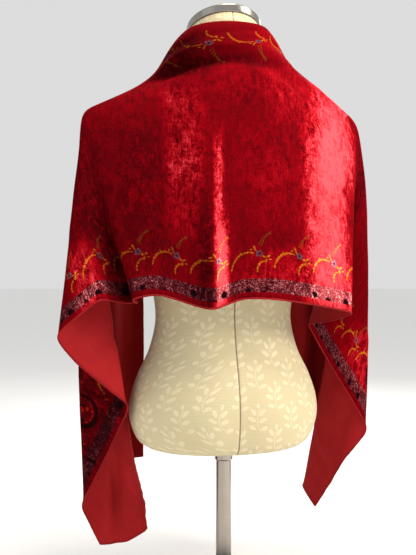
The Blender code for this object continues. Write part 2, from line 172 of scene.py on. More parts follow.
def curve(rows, along, name, x):
    """A column of a table read at x: between two rows a cubic with each row's own value and slope."""
    t, p = rows[along], rows[name]
    slope = np.gradient(p, t)
    x = np.clip(x, t[0], t[-1])
    i = np.clip(np.searchsorted(t, x) - 1, 0, len(t) - 2)
    h = t[i + 1] - t[i]
    s = (x - t[i]) / h
    start = (2 * s**3 - 3 * s**2 + 1) * p[i] + (s**3 - 2 * s**2 + s) * h * slope[i]
    return start + (3 * s**2 - 2 * s**3) * p[i + 1] + (s**3 - s**2) * h * slope[i + 1]


def point_on(rows, u):
    """The point whose x, y and z are the table's curves at u."""
    return np.stack([curve(rows, "u", name, u) for name in "xyz"], -1)


def soften(values, sigma, axis, step):
    """Each value becomes the bell-weighted mean of its neighbours, sigma wide; the ends stay in place."""
    n = math.ceil(3 * sigma / step)
    weights = np.exp(-0.5 * (np.arange(-n, n + 1) * step / sigma) ** 2)
    weights /= weights.sum()
    values = np.moveaxis(values, axis, 0)
    head = 2 * values[:1] - values[1:n + 1][::-1]
    tail = 2 * values[-1:] - values[-n - 1:-1][::-1]
    padded = np.concatenate([head, values, tail])
    result = sum(w * padded[i:i + len(values)] for i, w in enumerate(weights))
    return np.moveaxis(result, 0, axis)


def unit(vectors):
    """Each vector divided by its own length."""
    return vectors / np.linalg.norm(vectors, axis=-1, keepdims=True)


print("a hump's top lies at", round(0.7 / 1.8, 2), "of the way and is", hump(np.array(0.7 / 1.8), 0.7, 1.1))

# %% [markdown]
# ## One side of the drape
# Velvet hangs in folds that are nearly cones: over the shoulder the cloth turns on one point, the tip, and
# each crest or valley is a straight line from there to the border. So one side needs only its tip and the
# places of the fold ends. Above the crease lies the band that rolls over at the neck.

# %% One side of the scarf
class Side:
    """One side of the scarf, from the nape over the shoulder to the end."""

    def __init__(self, sign, folds, reach, collar_roll):
        tip_row = 0 if sign < 0 else -1
        self.collar_roll = collar_roll
        self.sign = sign
        self.folds = folds
        self.tip = np.array([RIDGE[name][tip_row] for name in "xyz"])
        self.tip_u = abs(RIDGE["u"][tip_row])
        self.tip_v = RIDGE["v"][tip_row]
        self.drop = SCARF_WIDTH - self.tip_v
        self.run = reach - self.tip_u
        at_hem = folds["v"] >= SCARF_WIDTH
        self.border = np.where(at_hem, folds["u"] - self.tip_u, self.run + SCARF_WIDTH - folds["v"])

    def crease(self, u):
        """The ridge's curve as far as the tip, then a straight line from there to the last fold's end."""
        last = np.array([self.folds[name][-1] for name in "xyz"])
        share = np.clip((np.abs(u) - self.tip_u) / self.run, 0, 1)[..., None]
        beyond = np.abs(u) > self.tip_u
        place = np.where(beyond[..., None], self.tip + share * (last - self.tip), point_on(RIDGE, u))
        return place, np.where(beyond, self.tip_v, curve(RIDGE, "u", "v", u))

    def upper_band(self, u, v, place, crease_v):
        """A straight line from folded edge to crease, plus a half sine outwards for the collar's roll and
        one and a half sine waves for the front; the tucked width runs back down inside."""
        edge = point_on(UPPER_EDGE, u)
        tuck = np.clip(curve(UPPER_EDGE, "u", "tuck", u), 0, None)
        share = np.clip((v - tuck) / (crease_v - tuck), 0, 1)[..., None]
        band = edge + share * (place - edge)
        level = np.array([1.0, 1.0, 0.0])
        roll = self.collar_roll * (1 - smooth_step(np.abs(u), 9, 17))[..., None] * np.sin(np.pi * share)
        wave = FRONT_WAVE * smooth_step(np.abs(u), 12, 40)[..., None] * np.sin(3 * np.pi * share)
        band = band + roll * unit(place * level) + wave * np.sqrt(np.sin(np.pi * share)) * [0.0, 1.0, 0.0]
        inside = np.clip(tuck - v, 0, None)[..., None]
        tucked = edge + TUCK_SLOPE * inside * unit(place - edge)
        tucked = tucked - np.minimum(inside, TUCK_DEPTH) * unit(edge * level)
        return np.where((v < tuck)[..., None], tucked, band)

    def fan(self, u, v):
        """Straight rays from the tip to the border: the ray's direction is the border's zigzag there, and
        the point lies on it at the same share of its length as on the flat."""
        across, down = np.abs(u) - self.tip_u, v - self.tip_v
        distance = np.hypot(across, down)
        angle = np.clip(np.arctan2(across, down), -1.2, math.pi / 2)
        corner = math.atan2(self.run, self.drop)
        hem_angle, end_angle = np.minimum(angle, corner), np.maximum(angle, corner)
        to_hem = angle <= corner
        whole = np.where(to_hem, self.drop / np.cos(hem_angle), self.run / np.sin(end_angle))
        along_end = self.run + self.drop - self.run / np.tan(end_angle)
        place = np.where(to_hem, self.drop * np.tan(hem_angle), along_end)
        ends = np.stack([self.folds[name] for name in "xyz"], -1)
        main = self.folds["full_at"] == 0
        samples = np.linspace(self.border[0], self.border[-1], OUTLINE_SAMPLES)
        outline = np.stack([np.interp(samples, self.border[main], ends[main, k]) for k in range(3)], -1)
        outline = soften(outline, OUTLINE_SOFTNESS, 0, samples[1] - samples[0])
        reached = np.stack([np.interp(place, samples, outline[:, k]) for k in range(3)], -1)
        for k, full_at in enumerate(self.folds["full_at"]):
            apex = np.zeros(len(self.border))
            apex[k] = 1.0
            pull = ends[k] - [np.interp(self.border[k], samples, outline[:, axis]) for axis in range(3)]
            depth = np.interp(place, self.border, apex)
            depth = depth * smooth_step(distance, FOLD_START, max(full_at, FOLD_FULL))
            reached = reached + depth[..., None] * pull
        share = np.clip(distance / whole, 0, 1.2)
        lengths = np.interp(place, self.border, np.linalg.norm(ends - self.tip, axis=-1))
        result = self.tip + (share * lengths)[..., None] * unit(reached - self.tip)
        bow = np.interp(place, self.border, self.folds["bow"])
        result[..., 0] += self.sign * bow * hump(share, 0.7, 1.1)
        return result, angle

    def back(self, u, v):
        """Straight lines from the ridge to the hem, plus a hump outwards near the top. A line's place on the
        ridge depends on its share of the way down, so it is found in a few rounds."""
        spread = self.border[0] / self.tip_u + 1.0
        top_u = np.abs(u)
        for _ in range(TOP_ROUNDS):
            top_v = curve(RIDGE, "u", "v", self.sign * np.minimum(top_u, self.tip_u))
            share = np.clip((v - top_v) / (SCARF_WIDTH - top_v), 0, 1)
            top_u = np.abs(u) / (1 - share + share * spread)
        top_u = self.sign * np.minimum(top_u, self.tip_u)
        top_v = curve(RIDGE, "u", "v", top_u)
        share = np.clip((v - top_v) / (SCARF_WIDTH - top_v), 0, 1)
        top, hem = point_on(RIDGE, top_u), point_on(BACK_HEM, top_u * spread)
        swell = curve(RIDGE, "u", "swell", top_u) * hump(share, 0.6, 1.4)
        return top + share[..., None] * (hem - top) - swell[..., None] * [0.0, 1.0, 0.0]

    def surface(self, u, v):
        """The band above the crease, the back between the ridge and the hem, and the fan beyond the tip."""
        place, crease_v = self.crease(u)
        fan, angle = self.fan(u, v)
        in_back = angle < math.atan2(self.border[0], self.drop)
        lower = np.where(in_back[..., None], self.back(u, v), fan)
        return np.where((v < crease_v)[..., None], self.upper_band(u, v, place, crease_v), lower)


left_side = Side(-1, LEFT_FOLDS, LEFT_REACH, LEFT_COLLAR_ROLL)
right_side = Side(1, RIGHT_FOLDS, RIGHT_REACH, RIGHT_COLLAR_ROLL)
print("tips of the shoulders", left_side.tip, right_side.tip)

# %% [markdown]
# ## The fine surface
# The model's wall has a point every two centimetres. Here the same formulas are read every half
# centimetre. Creases come on top: small ridges and troughs laid where the cloth is crushed, each an
# elongated bell. Real velvet shows them as uneven marks where it was folded or sat on.

# %% Fine middle surface with its creases
CLOTH_STEP = 0.5
CLOTH_SOFTNESS = 0.95
CLOTH_THICKNESS = 1.2 * MM
SLOW_RIPPLE = 0.5 * MM
QUICK_RIPPLE = 0.22 * MM

CREASES = table("u v half_length half_width turn height", [
    (-4.7, 50.0, 9.0, 0.9, 92, 0.55),
    (-6.8, 51.0, 7.0, 1.0, 94, -0.3),
    (-4.9, 36.0, 9.0, 0.7, 91, 0.22),
    (-10.5, 15.9, 4.6, 1.1, -20, -0.8),
    (-4.6, 14.7, 4.4, 1.1, -6, -0.85),
    (1.6, 14.9, 4.6, 1.1, 10, -0.7),
    (8.0, 17.2, 4.4, 1.2, 26, -0.6),
    (-8.6, 12.9, 4.8, 1.2, -24, 0.7),
    (-8.2, 10.4, 4.0, 0.8, -28, -0.4),
    (11.0, 15.0, 4.2, 0.7, 34, 0.3),
    (9.4, 20.0, 4.6, 0.8, 30, 0.22),
    (6.2, 19.0, 3.6, 0.6, 24, 0.16),
    (-2.0, 12.2, 5.4, 1.3, 0, 0.7),
    (5.6, 13.6, 4.8, 1.3, 22, 0.6),
    (0.8, 8.6, 4.2, 0.7, -12, -0.25),
    (-5.4, 10.6, 3.8, 0.8, -26, -0.22),
    (5.2, 10.2, 3.6, 0.7, 32, -0.26),
    (6.2, 51.6, 4.6, 0.8, -28, 0.32),
    (8.4, 53.0, 3.0, 0.6, -20, -0.16),
    (1.5, 50.6, 3.4, 0.9, 12, -0.14),
    (-13.5, 53.4, 3.2, 0.7, 10, 0.16),
    (14.0, 20.0, 5.5, 1.2, -38, 0.16),
    (11.5, 26.0, 6.5, 1.6, 80, -0.12),
    (-9.5, 27.0, 7.0, 1.1, 84, 0.16),
    (-11.5, 34.0, 5.0, 0.9, 96, 0.12),
    (3.0, 33.0, 9.0, 1.8, 78, -0.14),
    (13.2, 42.0, 10.0, 1.3, 92, 0.2),
    (-15.0, 40.0, 8.0, 1.4, 98, -0.14),
    (-34.5, 45.0, 7.5, 1.3, 70, 0.16),
    (-55.0, 47.0, 12.0, 1.5, 64, 0.22),
    (-63.0, 40.0, 10.0, 1.6, 52, -0.2),
    (-85.0, 43.8, 8.0, 1.6, -6, -1.0),
    (-84.5, 47.0, 8.5, 0.9, -27, 1.4),
    (-86.0, 49.2, 7.0, 0.9, -32, -0.7),
    (-87.8, 51.4, 5.0, 0.8, -38, 0.45),
    (-83.0, 45.9, 5.0, 0.7, -20, -0.3),
    (-90.6, 46.4, 2.2, 0.6, 62, 0.3),
    (-89.0, 44.8, 2.0, 0.6, 78, -0.24),
    (-91.4, 50.6, 2.0, 0.6, 84, 0.26),
    (79.5, 52.0, 3.5, 0.7, 74, 0.4),
    (77.0, 49.5, 3.0, 0.8, 66, -0.35),
    (82.6, 52.4, 2.4, 0.6, 78, 0.3),
    (72.0, 51.0, 5.0, 1.0, 20, 0.3),
    (66.0, 46.0, 7.0, 1.3, 32, -0.35),
    (55.0, 46.0, 9.0, 1.4, -30, 0.14),
    (40.0, 12.0, 11.0, 1.4, 6, 0.2),
    (-42.0, 10.0, 12.0, 1.5, -5, 0.2),
    (66.0, 24.0, 12.0, 1.5, 10, -0.2),
    (-70.0, 26.0, 13.0, 1.5, -8, 0.22),
])


def scarf_grid():
    """Flat lengths, flat widths and the middle surface on a grid of CLOTH_STEP."""
    lengths = np.linspace(-LEFT_REACH, RIGHT_REACH, round((LEFT_REACH + RIGHT_REACH) / CLOTH_STEP) + 1)
    widths = np.linspace(0, SCARF_WIDTH, round(SCARF_WIDTH / CLOTH_STEP) + 1)
    u, v = np.meshgrid(lengths, widths, indexing="ij")
    on_left = lengths < 0
    points = [left_side.surface(u[on_left], v[on_left]), right_side.surface(u[~on_left], v[~on_left])]
    points = np.concatenate(points)
    for axis in (0, 1):
        points = soften(points, CLOTH_SOFTNESS, axis, CLOTH_STEP)
    return u, v, points


def crease_height(u, v):
    """The sum of elongated bells: height times e to the minus (along / half_length)^2 plus
    (across / half_width)^2."""
    total = np.zeros_like(u)
    for row_u, row_v, half_length, half_width, turn, height in zip(*CREASES.values()):
        c, s = math.cos(math.radians(turn)), math.sin(math.radians(turn))
        along = (u - row_u) * c + (v - row_v) * s
        across = (v - row_v) * c - (u - row_u) * s
        total += height * np.exp(-((along / half_length) ** 2) - (across / half_width) ** 2)
    return total


def ripple(u, v):
    """Slow sine waves of uneven lengths crossed with each other, under 1 mm high, for cloth is never flat."""
    slow = np.sin(u / 2.9 + 1.1 * np.sin(v / 9.0)) * np.sin(v / 6.3 + 0.7 * np.sin(u / 7.1))
    quick = np.sin(u / 1.31 + 0.8 * np.sin(v / 4.7)) * np.sin(v / 3.7 + 1.9)
    return SLOW_RIPPLE * slow + QUICK_RIPPLE * quick


flat_u, flat_v, middle = scarf_grid()
outwards = unit(np.cross(np.gradient(middle, axis=1), np.gradient(middle, axis=0)))
middle = middle + (crease_height(flat_u, flat_v) + ripple(flat_u, flat_v))[..., None] * outwards
outwards = unit(np.cross(np.gradient(middle, axis=1), np.gradient(middle, axis=0)))
print("cloth grid", middle.shape, "creases", len(CREASES["u"]))

# %% [markdown]
# ## Colour and node helpers
# Colours are chosen as sRGB hex values, as a picture program shows them. Blender computes in linear light,
# so one function turns a hex value to linear. One more small function adds a shader node, sets it and
# links it, which keeps a material readable from top to bottom.

# %% Helpers for colours and nodes
MATH = "ShaderNodeMath"
VECTOR = "ShaderNodeVectorMath"
NOISE = "ShaderNodeTexNoise"
VORONOI = "ShaderNodeTexVoronoi"
RANGE = "ShaderNodeMapRange"
MAPPING = "ShaderNodeMapping"
RAMP = "ShaderNodeValToRGB"
MIX = "ShaderNodeMix"
BLEND = {"output": "Result", "data_type": "RGBA"}
CHOICE = {"output": "Result", "data_type": "FLOAT"}


def linear(code):
    """Linear red, green, blue and 1 from a hex code: c / 12.92 up to 0.04045 and ((c + 0.055) / 1.055)^2.4
    above it."""
    c = np.array([int(code[i:i + 2], 16) for i in (1, 3, 5)]) / 255
    c = np.where(c <= 0.04045, c / 12.92, ((c + 0.055) / 1.055) ** 2.4)
    return (*(float(x) for x in c), 1.0)


def add(tree, kind, inputs=None, output=0, stops=(), **settings):
    """One node: settings are its properties, inputs maps a socket's name or number to a value or a link,
    and stops are a colour ramp's places from 0 to 1, each with a hex code."""
    node = tree.nodes.new(kind)
    for name, value in settings.items():
        setattr(node, name, value)
    for name, value in (inputs or {}).items():
        socket = node.inputs[name]
        if isinstance(value, bpy.types.NodeSocket):
            tree.links.new(value, socket)
        else:
            socket.default_value = value
    for place, code in stops[1:-1]:
        node.color_ramp.elements.new(place)
    for k, (place, code) in enumerate(stops):
        node.color_ramp.elements[k].color = linear(code)
    return node.outputs[output]


def start_material(name, **constants):
    """A new material with its tree and shader; constants go on the shader's own sockets."""
    made = bpy.data.materials.new(name)
    made.use_nodes = True
    shader = made.node_tree.nodes["Principled BSDF"]
    for socket, value in constants.items():
        shader.inputs[socket.replace("_", " ")].default_value = value
    return made, made.node_tree, shader


print("crimson in linear light", [round(c, 4) for c in linear("#8e0a12")])

# %% [markdown]
# ## The printed border
# Along every edge runs a border: a plain margin, a narrow strip of fine scrolls in faded rose with small
# dark flowers, a gap, and then a golden vine that repeats every seven centimetres, with a slate flower and
# dotted sprigs. The ends carry large dark paisleys instead of the vine. Each mark is a small ellipse, so a
# pattern is a short table of ellipses; beads along an arc make the stems.

# %% Marks of the vine and the paisley, in centimetres
VINE_REPEAT = 7.0
VINE_BEFORE = 4.8
PAISLEY_REPEAT = 9.2
MARK_RIM = 0.05


def beads(centre, radius, start, stop, count, half_length, half_width, swell=0.0):
    """Ellipses laid end to end along an arc: centre plus radius times (cos, sin), turned with the arc, and
    wider by the share swell at the arc's middle."""
    rows = []
    for share in np.linspace(0, 1, count):
        degrees = start + share * (stop - start)
        angle = math.radians(degrees)
        x, y = centre[0] + radius * math.cos(angle), centre[1] + radius * math.sin(angle)
        width = half_width * (1 + swell * math.sin(math.pi * share))
        rows.append((x, y, half_length, width, degrees + 90))
    return rows


MARK_COLUMNS = "x y half_length half_width turn"
VINE = table(MARK_COLUMNS, [
    *beads((-1.8, -2.4), 2.65, 172, 76, 9, 0.37, 0.15, 0.7),
    *beads((1.2, -2.6), 1.45, 190, 100, 5, 0.34, 0.15, 0.5),
    (0.75, -0.5, 0.42, 0.2, 150),
    (1.4, -0.45, 0.42, 0.19, 30),
    (1.8, -0.95, 0.3, 0.16, 0),
    (1.1, -1.15, 0.4, 0.19, 75),
    (-0.8, 1.0, 0.44, 0.19, 120),
    (-0.6, 0.55, 0.3, 0.15, 140),
    (-1.35, 0.7, 0.28, 0.14, 15),
    (-3.0, 0.2, 0.3, 0.15, 110),
])
SPRIGS = table(MARK_COLUMNS, [
    *beads((3.6, 0.8), 3.3, 170, 124, 8, 0.17, 0.13),
    *beads((2.6, 0.6), 2.8, 160, 108, 7, 0.15, 0.12),
])
VINE_FLOWER = table(MARK_COLUMNS, [
    *beads((0.0, 0.0), 0.38, 0, 288, 5, 0.24, 0.28),
])
VINE_EYE = table(MARK_COLUMNS, [(0.0, 0.0, 0.24, 0.24, 0)])
PAISLEY_LINE = table(MARK_COLUMNS, [
    *beads((0.0, 0.0), 2.6, 165, 385, 14, 0.85, 0.34, 0.7),
    *beads((1.6, 1.6), 4.0, 176, 118, 6, 0.85, 0.36, 0.5),
    *beads((0.2, 4.3), 1.2, 20, 140, 5, 0.55, 0.28),
    *beads((-0.2, -0.2), 1.25, 200, 20, 6, 0.6, 0.26, 0.6),
])
PAISLEY_HEART = table(MARK_COLUMNS, [
    (0.2, 0.3, 0.7, 0.34, 70),
    (0.9, -0.6, 0.5, 0.24, 20),
    (-1.5, 1.4, 0.7, 0.22, 75),
    (-1.2, 2.8, 0.5, 0.18, 55),
    *beads((0.0, 0.0), 1.9, 230, 330, 5, 0.42, 0.14),
    (3.6, 3.4, 0.5, 0.2, 30),
    (4.2, 2.4, 0.42, 0.18, 80),
    (4.4, -2.8, 0.5, 0.2, 120),
])
print("marks", len(VINE["x"]), "in the vine and", len(PAISLEY_LINE["x"]), "in the paisley's outline")


def mark_mask(tree, place, rows, ragged=1.0, edge=0.3):
    """1 inside any ellipse of the table and 0 outside. Each place is turned and scaled to the ellipse's own
    axes, where the nearness is 1 less the distance from its middle; the greatest counts, times ragged, and
    the mask goes from 0 to 1 as the product grows from MARK_RIM by edge."""
    nearest = None
    for x, y, half_length, half_width, turn in zip(*rows.values()):
        local = add(tree, MAPPING, {
            "Vector": place,
            "Location": (x, y, 0),
            "Rotation": (0, 0, math.radians(turn)),
            "Scale": (half_length, half_width, 1),
        }, vector_type="TEXTURE")
        nearness = add(tree, "ShaderNodeTexGradient", {"Vector": local}, output="Fac",
                       gradient_type="SPHERICAL")
        if nearest is None:
            nearest = nearness
        else:
            nearest = add(tree, MATH, {0: nearest, 1: nearness}, operation="MAXIMUM")
    nearest = add(tree, MATH, {0: nearest, 1: ragged}, operation="MULTIPLY")
    return add(tree, RANGE, {"Value": nearest, "From Min": MARK_RIM, "From Max": MARK_RIM + edge})


# %% [markdown]
# ## Crushed velvet
# Velvet is a woven ground with a short cut pile. The pile leans, and where it leans towards the light it
# looks pale, elsewhere nearly black, so one dye shows as everything from coral to oxblood. The material
# reads a value kept on the mesh, which holds how far the pile leans together with painted light and shade:
# painted light where the back's right side faces the lamp and on the lit side of the back's crease, painted
# shade in the collar's troughs, left of that crease and on the shaded left end. It breaks the value up with
# streaks along both thread directions and picks the dye's shade from it. Sheen, a soft glow at grazing
# angles, is the pile's mark.

# %% Patches of pile lean, painted light and painted shade
PILE_AND_LIGHT_PATCHES = table("u v half_u half_v lean", [
    # painted shade: the first four darken the collar's troughs, where shade falls in the folds
    (-9.5, 15.4, 5.0, 1.3, -0.3),
    (-2.0, 14.6, 5.0, 0.9, -0.16),
    (4.5, 15.6, 4.0, 0.9, -0.12),
    (-9.5, 11.5, 4.0, 2.6, -0.2),
    # painted light: these two make the back's right side pale, where it faces the lamp
    (16.4, 43.0, 4.6, 17.0, 0.65),
    (20.2, 25.0, 4.6, 9.0, 0.58),
    (-32.0, 38.0, 8.0, 12.0, -0.08),
    (10.0, 20.0, 5.5, 6.0, 0.1),
    (2.0, 18.0, 7.0, 4.0, 0.06),
    (6.5, 50.5, 6.0, 3.6, 0.14),
    (4.0, 31.0, 5.0, 5.0, 0.05),
    # painted highlight: these two light the right side of the back's crease
    (-3.3, 49.0, 1.3, 7.5, 0.75),
    (-3.8, 36.0, 0.8, 8.0, 0.4),
    (-9.6, 27.0, 3.6, 8.5, 0.2),
    (-11.5, 37.0, 1.6, 7.0, 0.16),
    (6.0, 38.0, 4.0, 5.0, 0.06),
    (-8.4, 37.0, 1.8, 7.0, 0.14),
    # painted shade: the left side of the back's crease
    (-5.9, 47.0, 1.3, 9.0, -0.12),
    # painted shade: the left of the back, turned away from the lamp
    (-15.5, 37.0, 5.0, 15.0, -0.06),
    (-16.0, 20.0, 7.0, 5.0, 0.04),
    (-36.2, 50.0, 2.8, 6.5, 0.3),
    (-27.0, 50.0, 4.5, 12.0, -0.1),
    (8.0, 10.5, 5.0, 3.0, 0.14),
    (-10.0, 10.5, 5.0, 3.5, -0.1),
    (30.0, 40.0, 5.0, 16.0, -0.12),
    (58.0, 49.0, 8.0, 4.0, 0.2),
    (64.0, 42.0, 9.0, 6.0, 0.12),
    # painted shade together with darker pile: the left end's lower part, which hangs in shade
    (-70.0, 46.0, 13.0, 11.0, -0.13),
    (50.0, 16.0, 20.0, 9.0, 0.12),
    (-52.0, 16.0, 20.0, 9.0, 0.1),
])
PILE_REST = 0.25


def pile_lean_and_painted_light(u, v):
    """PILE_REST plus soft-edged patches of pile lean and of painted light and shade: lean times e to the
    minus (du / half_u)^4 + (dv / half_v)^4.
    """
    total = np.full_like(u, PILE_REST)
    for row_u, row_v, half_u, half_v, lean in zip(*PILE_AND_LIGHT_PATCHES.values()):
        total += lean * np.exp(-(((u - row_u) / half_u) ** 4) - ((v - row_v) / half_v) ** 4)
    return np.clip(total, 0, 1)


# pile lean together with painted light and shade, for each point of the cloth
lean = pile_lean_and_painted_light(flat_u, flat_v)
print("pile lean from", round(float(lean.min()), 2), "to", round(float(lean.max()), 2))

# %% The velvet's material
MARGIN = 1.1
STRIP_WIDTH = 2.2
STRIP_SHIFT = 1.4
VINE_SHIFT = 4.0
FLOWER_IN = 7.4
PAISLEY_IN = 7.2
PAISLEY_FIRST = 24.0
PAISLEY_FROM_CORNER = 10.0
FLOWER_AT = 3.1
FLAT_TO_CM = 1 / CM
INK_DARK = "#140309"
INK_EYE = "#120610"

# each ramp runs from the darkest to the palest look of its colour; the value kept on the mesh, pile lean with
# painted light and shade, picks the place, so the painted light and shade fall on every colour of the print
# too
DYES = {
    "crimson": [(0.0, "#320002"), (0.2, "#540006"), (0.34, "#7c000b"), (0.5, "#980814"),
                (0.72, "#bd2430"), (1.0, "#e0505a")],
    "wine": [(0.0, "#160204"), (0.25, "#3a060c"), (0.5, "#6a111a"), (1.0, "#b43c46")],
    "rose": [(0.0, "#2a0c12"), (0.14, "#4c1c24"), (0.28, "#9c565e"), (0.55, "#d08c92"), (1.0, "#f8c6c8")],
    "gold": [(0.0, "#3c1403"), (0.22, "#8a4408"), (0.6, "#d07e1a"), (1.0, "#ffb040")],
    "olive": [(0.0, "#3a2006"), (0.5, "#7c4c0e"), (1.0, "#d89438")],
    "slate": [(0.0, "#221c2a"), (0.5, "#564c5c"), (1.0, "#b09cae")],
    "oxblood": [(0.0, "#140103"), (0.6, "#300509"), (1.0, "#641a20")],
    "ember": [(0.0, "#700c08"), (0.5, "#a8200e"), (1.0, "#ee6038")],
}


def flat_place(tree):
    """The flat place in centimetres as a vector and as its two numbers."""
    flat = add(tree, "ShaderNodeUVMap", uv_map="flat")
    place = add(tree, VECTOR, {0: flat, 1: (FLAT_TO_CM,) * 3}, operation="MULTIPLY")
    split = add(tree, "ShaderNodeSeparateXYZ", {0: place})
    return place, split, split.node.outputs[1]


def streaks(tree, place, along, across, seed, swirl=0.0):
    """Noise drawn out to patches along by across centimetres; swirl bends them into curls."""
    stretched = add(tree, MAPPING, {"Vector": place, "Location": (seed, seed, 0),
                                    "Scale": (1 / along, 1 / across, 1)})
    return add(tree, NOISE, {
        "Vector": stretched, "Scale": 1.0, "Detail": 4.0, "Roughness": 0.6, "Distortion": swirl})


def border_distances(tree, u, v, collar_shift):
    """Distance to the nearer long edge and to the nearer end, and 1 where the end is the nearer one. Round
    the neck, where the cloth is pulled askew, the upper edge counts from collar_shift further in."""
    aside = add(tree, MATH, {0: u}, operation="ABSOLUTE")
    shift = add(tree, RANGE, {"Value": aside, "From Min": 34.0, "From Max": 14.0, "To Max": collar_shift})
    upper = add(tree, MATH, {0: v, 1: shift}, operation="SUBTRACT")
    lower = add(tree, MATH, {0: SCARF_WIDTH, 1: v}, operation="SUBTRACT")
    long_edge = add(tree, MATH, {0: upper, 1: lower}, operation="MINIMUM")
    left = add(tree, MATH, {0: u, 1: LEFT_REACH}, operation="ADD")
    right = add(tree, MATH, {0: RIGHT_REACH, 1: u}, operation="SUBTRACT")
    end = add(tree, MATH, {0: left, 1: right}, operation="MINIMUM")
    at_end = add(tree, MATH, {0: end, 1: long_edge}, operation="LESS_THAN")
    return long_edge, end, at_end


def repeat_place(tree, along, distance, repeat, before, offset, middle_in):
    """Place inside one repeat, which starts before to the left of its middle: along less the offset,
    wrapped to -before .. repeat - before, and the distance from middle_in."""
    moved = add(tree, MATH, {0: along, 1: offset - before}, operation="SUBTRACT")
    wrapped = add(tree, MATH, {0: moved, 1: repeat, 2: 0.0}, operation="WRAP")
    x = add(tree, MATH, {0: wrapped, 1: before}, operation="SUBTRACT")
    y = add(tree, MATH, {0: distance, 1: middle_in}, operation="SUBTRACT")
    return add(tree, "ShaderNodeCombineXYZ", {0: x, 1: y, 2: 0.0})


def band_mask(tree, distance, low, high, wobble):
    """1 between low and high from the edge, with a slightly ragged border."""
    moved = add(tree, MATH, {0: wobble, 1: 0.5, 2: -0.25}, operation="MULTIPLY_ADD")
    ragged = add(tree, MATH, {0: distance, 1: moved}, operation="ADD")
    above = add(tree, RANGE, {"Value": ragged, "From Min": low - 0.06, "From Max": low + 0.06})
    below = add(tree, RANGE, {"Value": ragged, "From Min": high + 0.06, "From Max": high - 0.06})
    return add(tree, MATH, {0: above, 1: below}, operation="MULTIPLY")


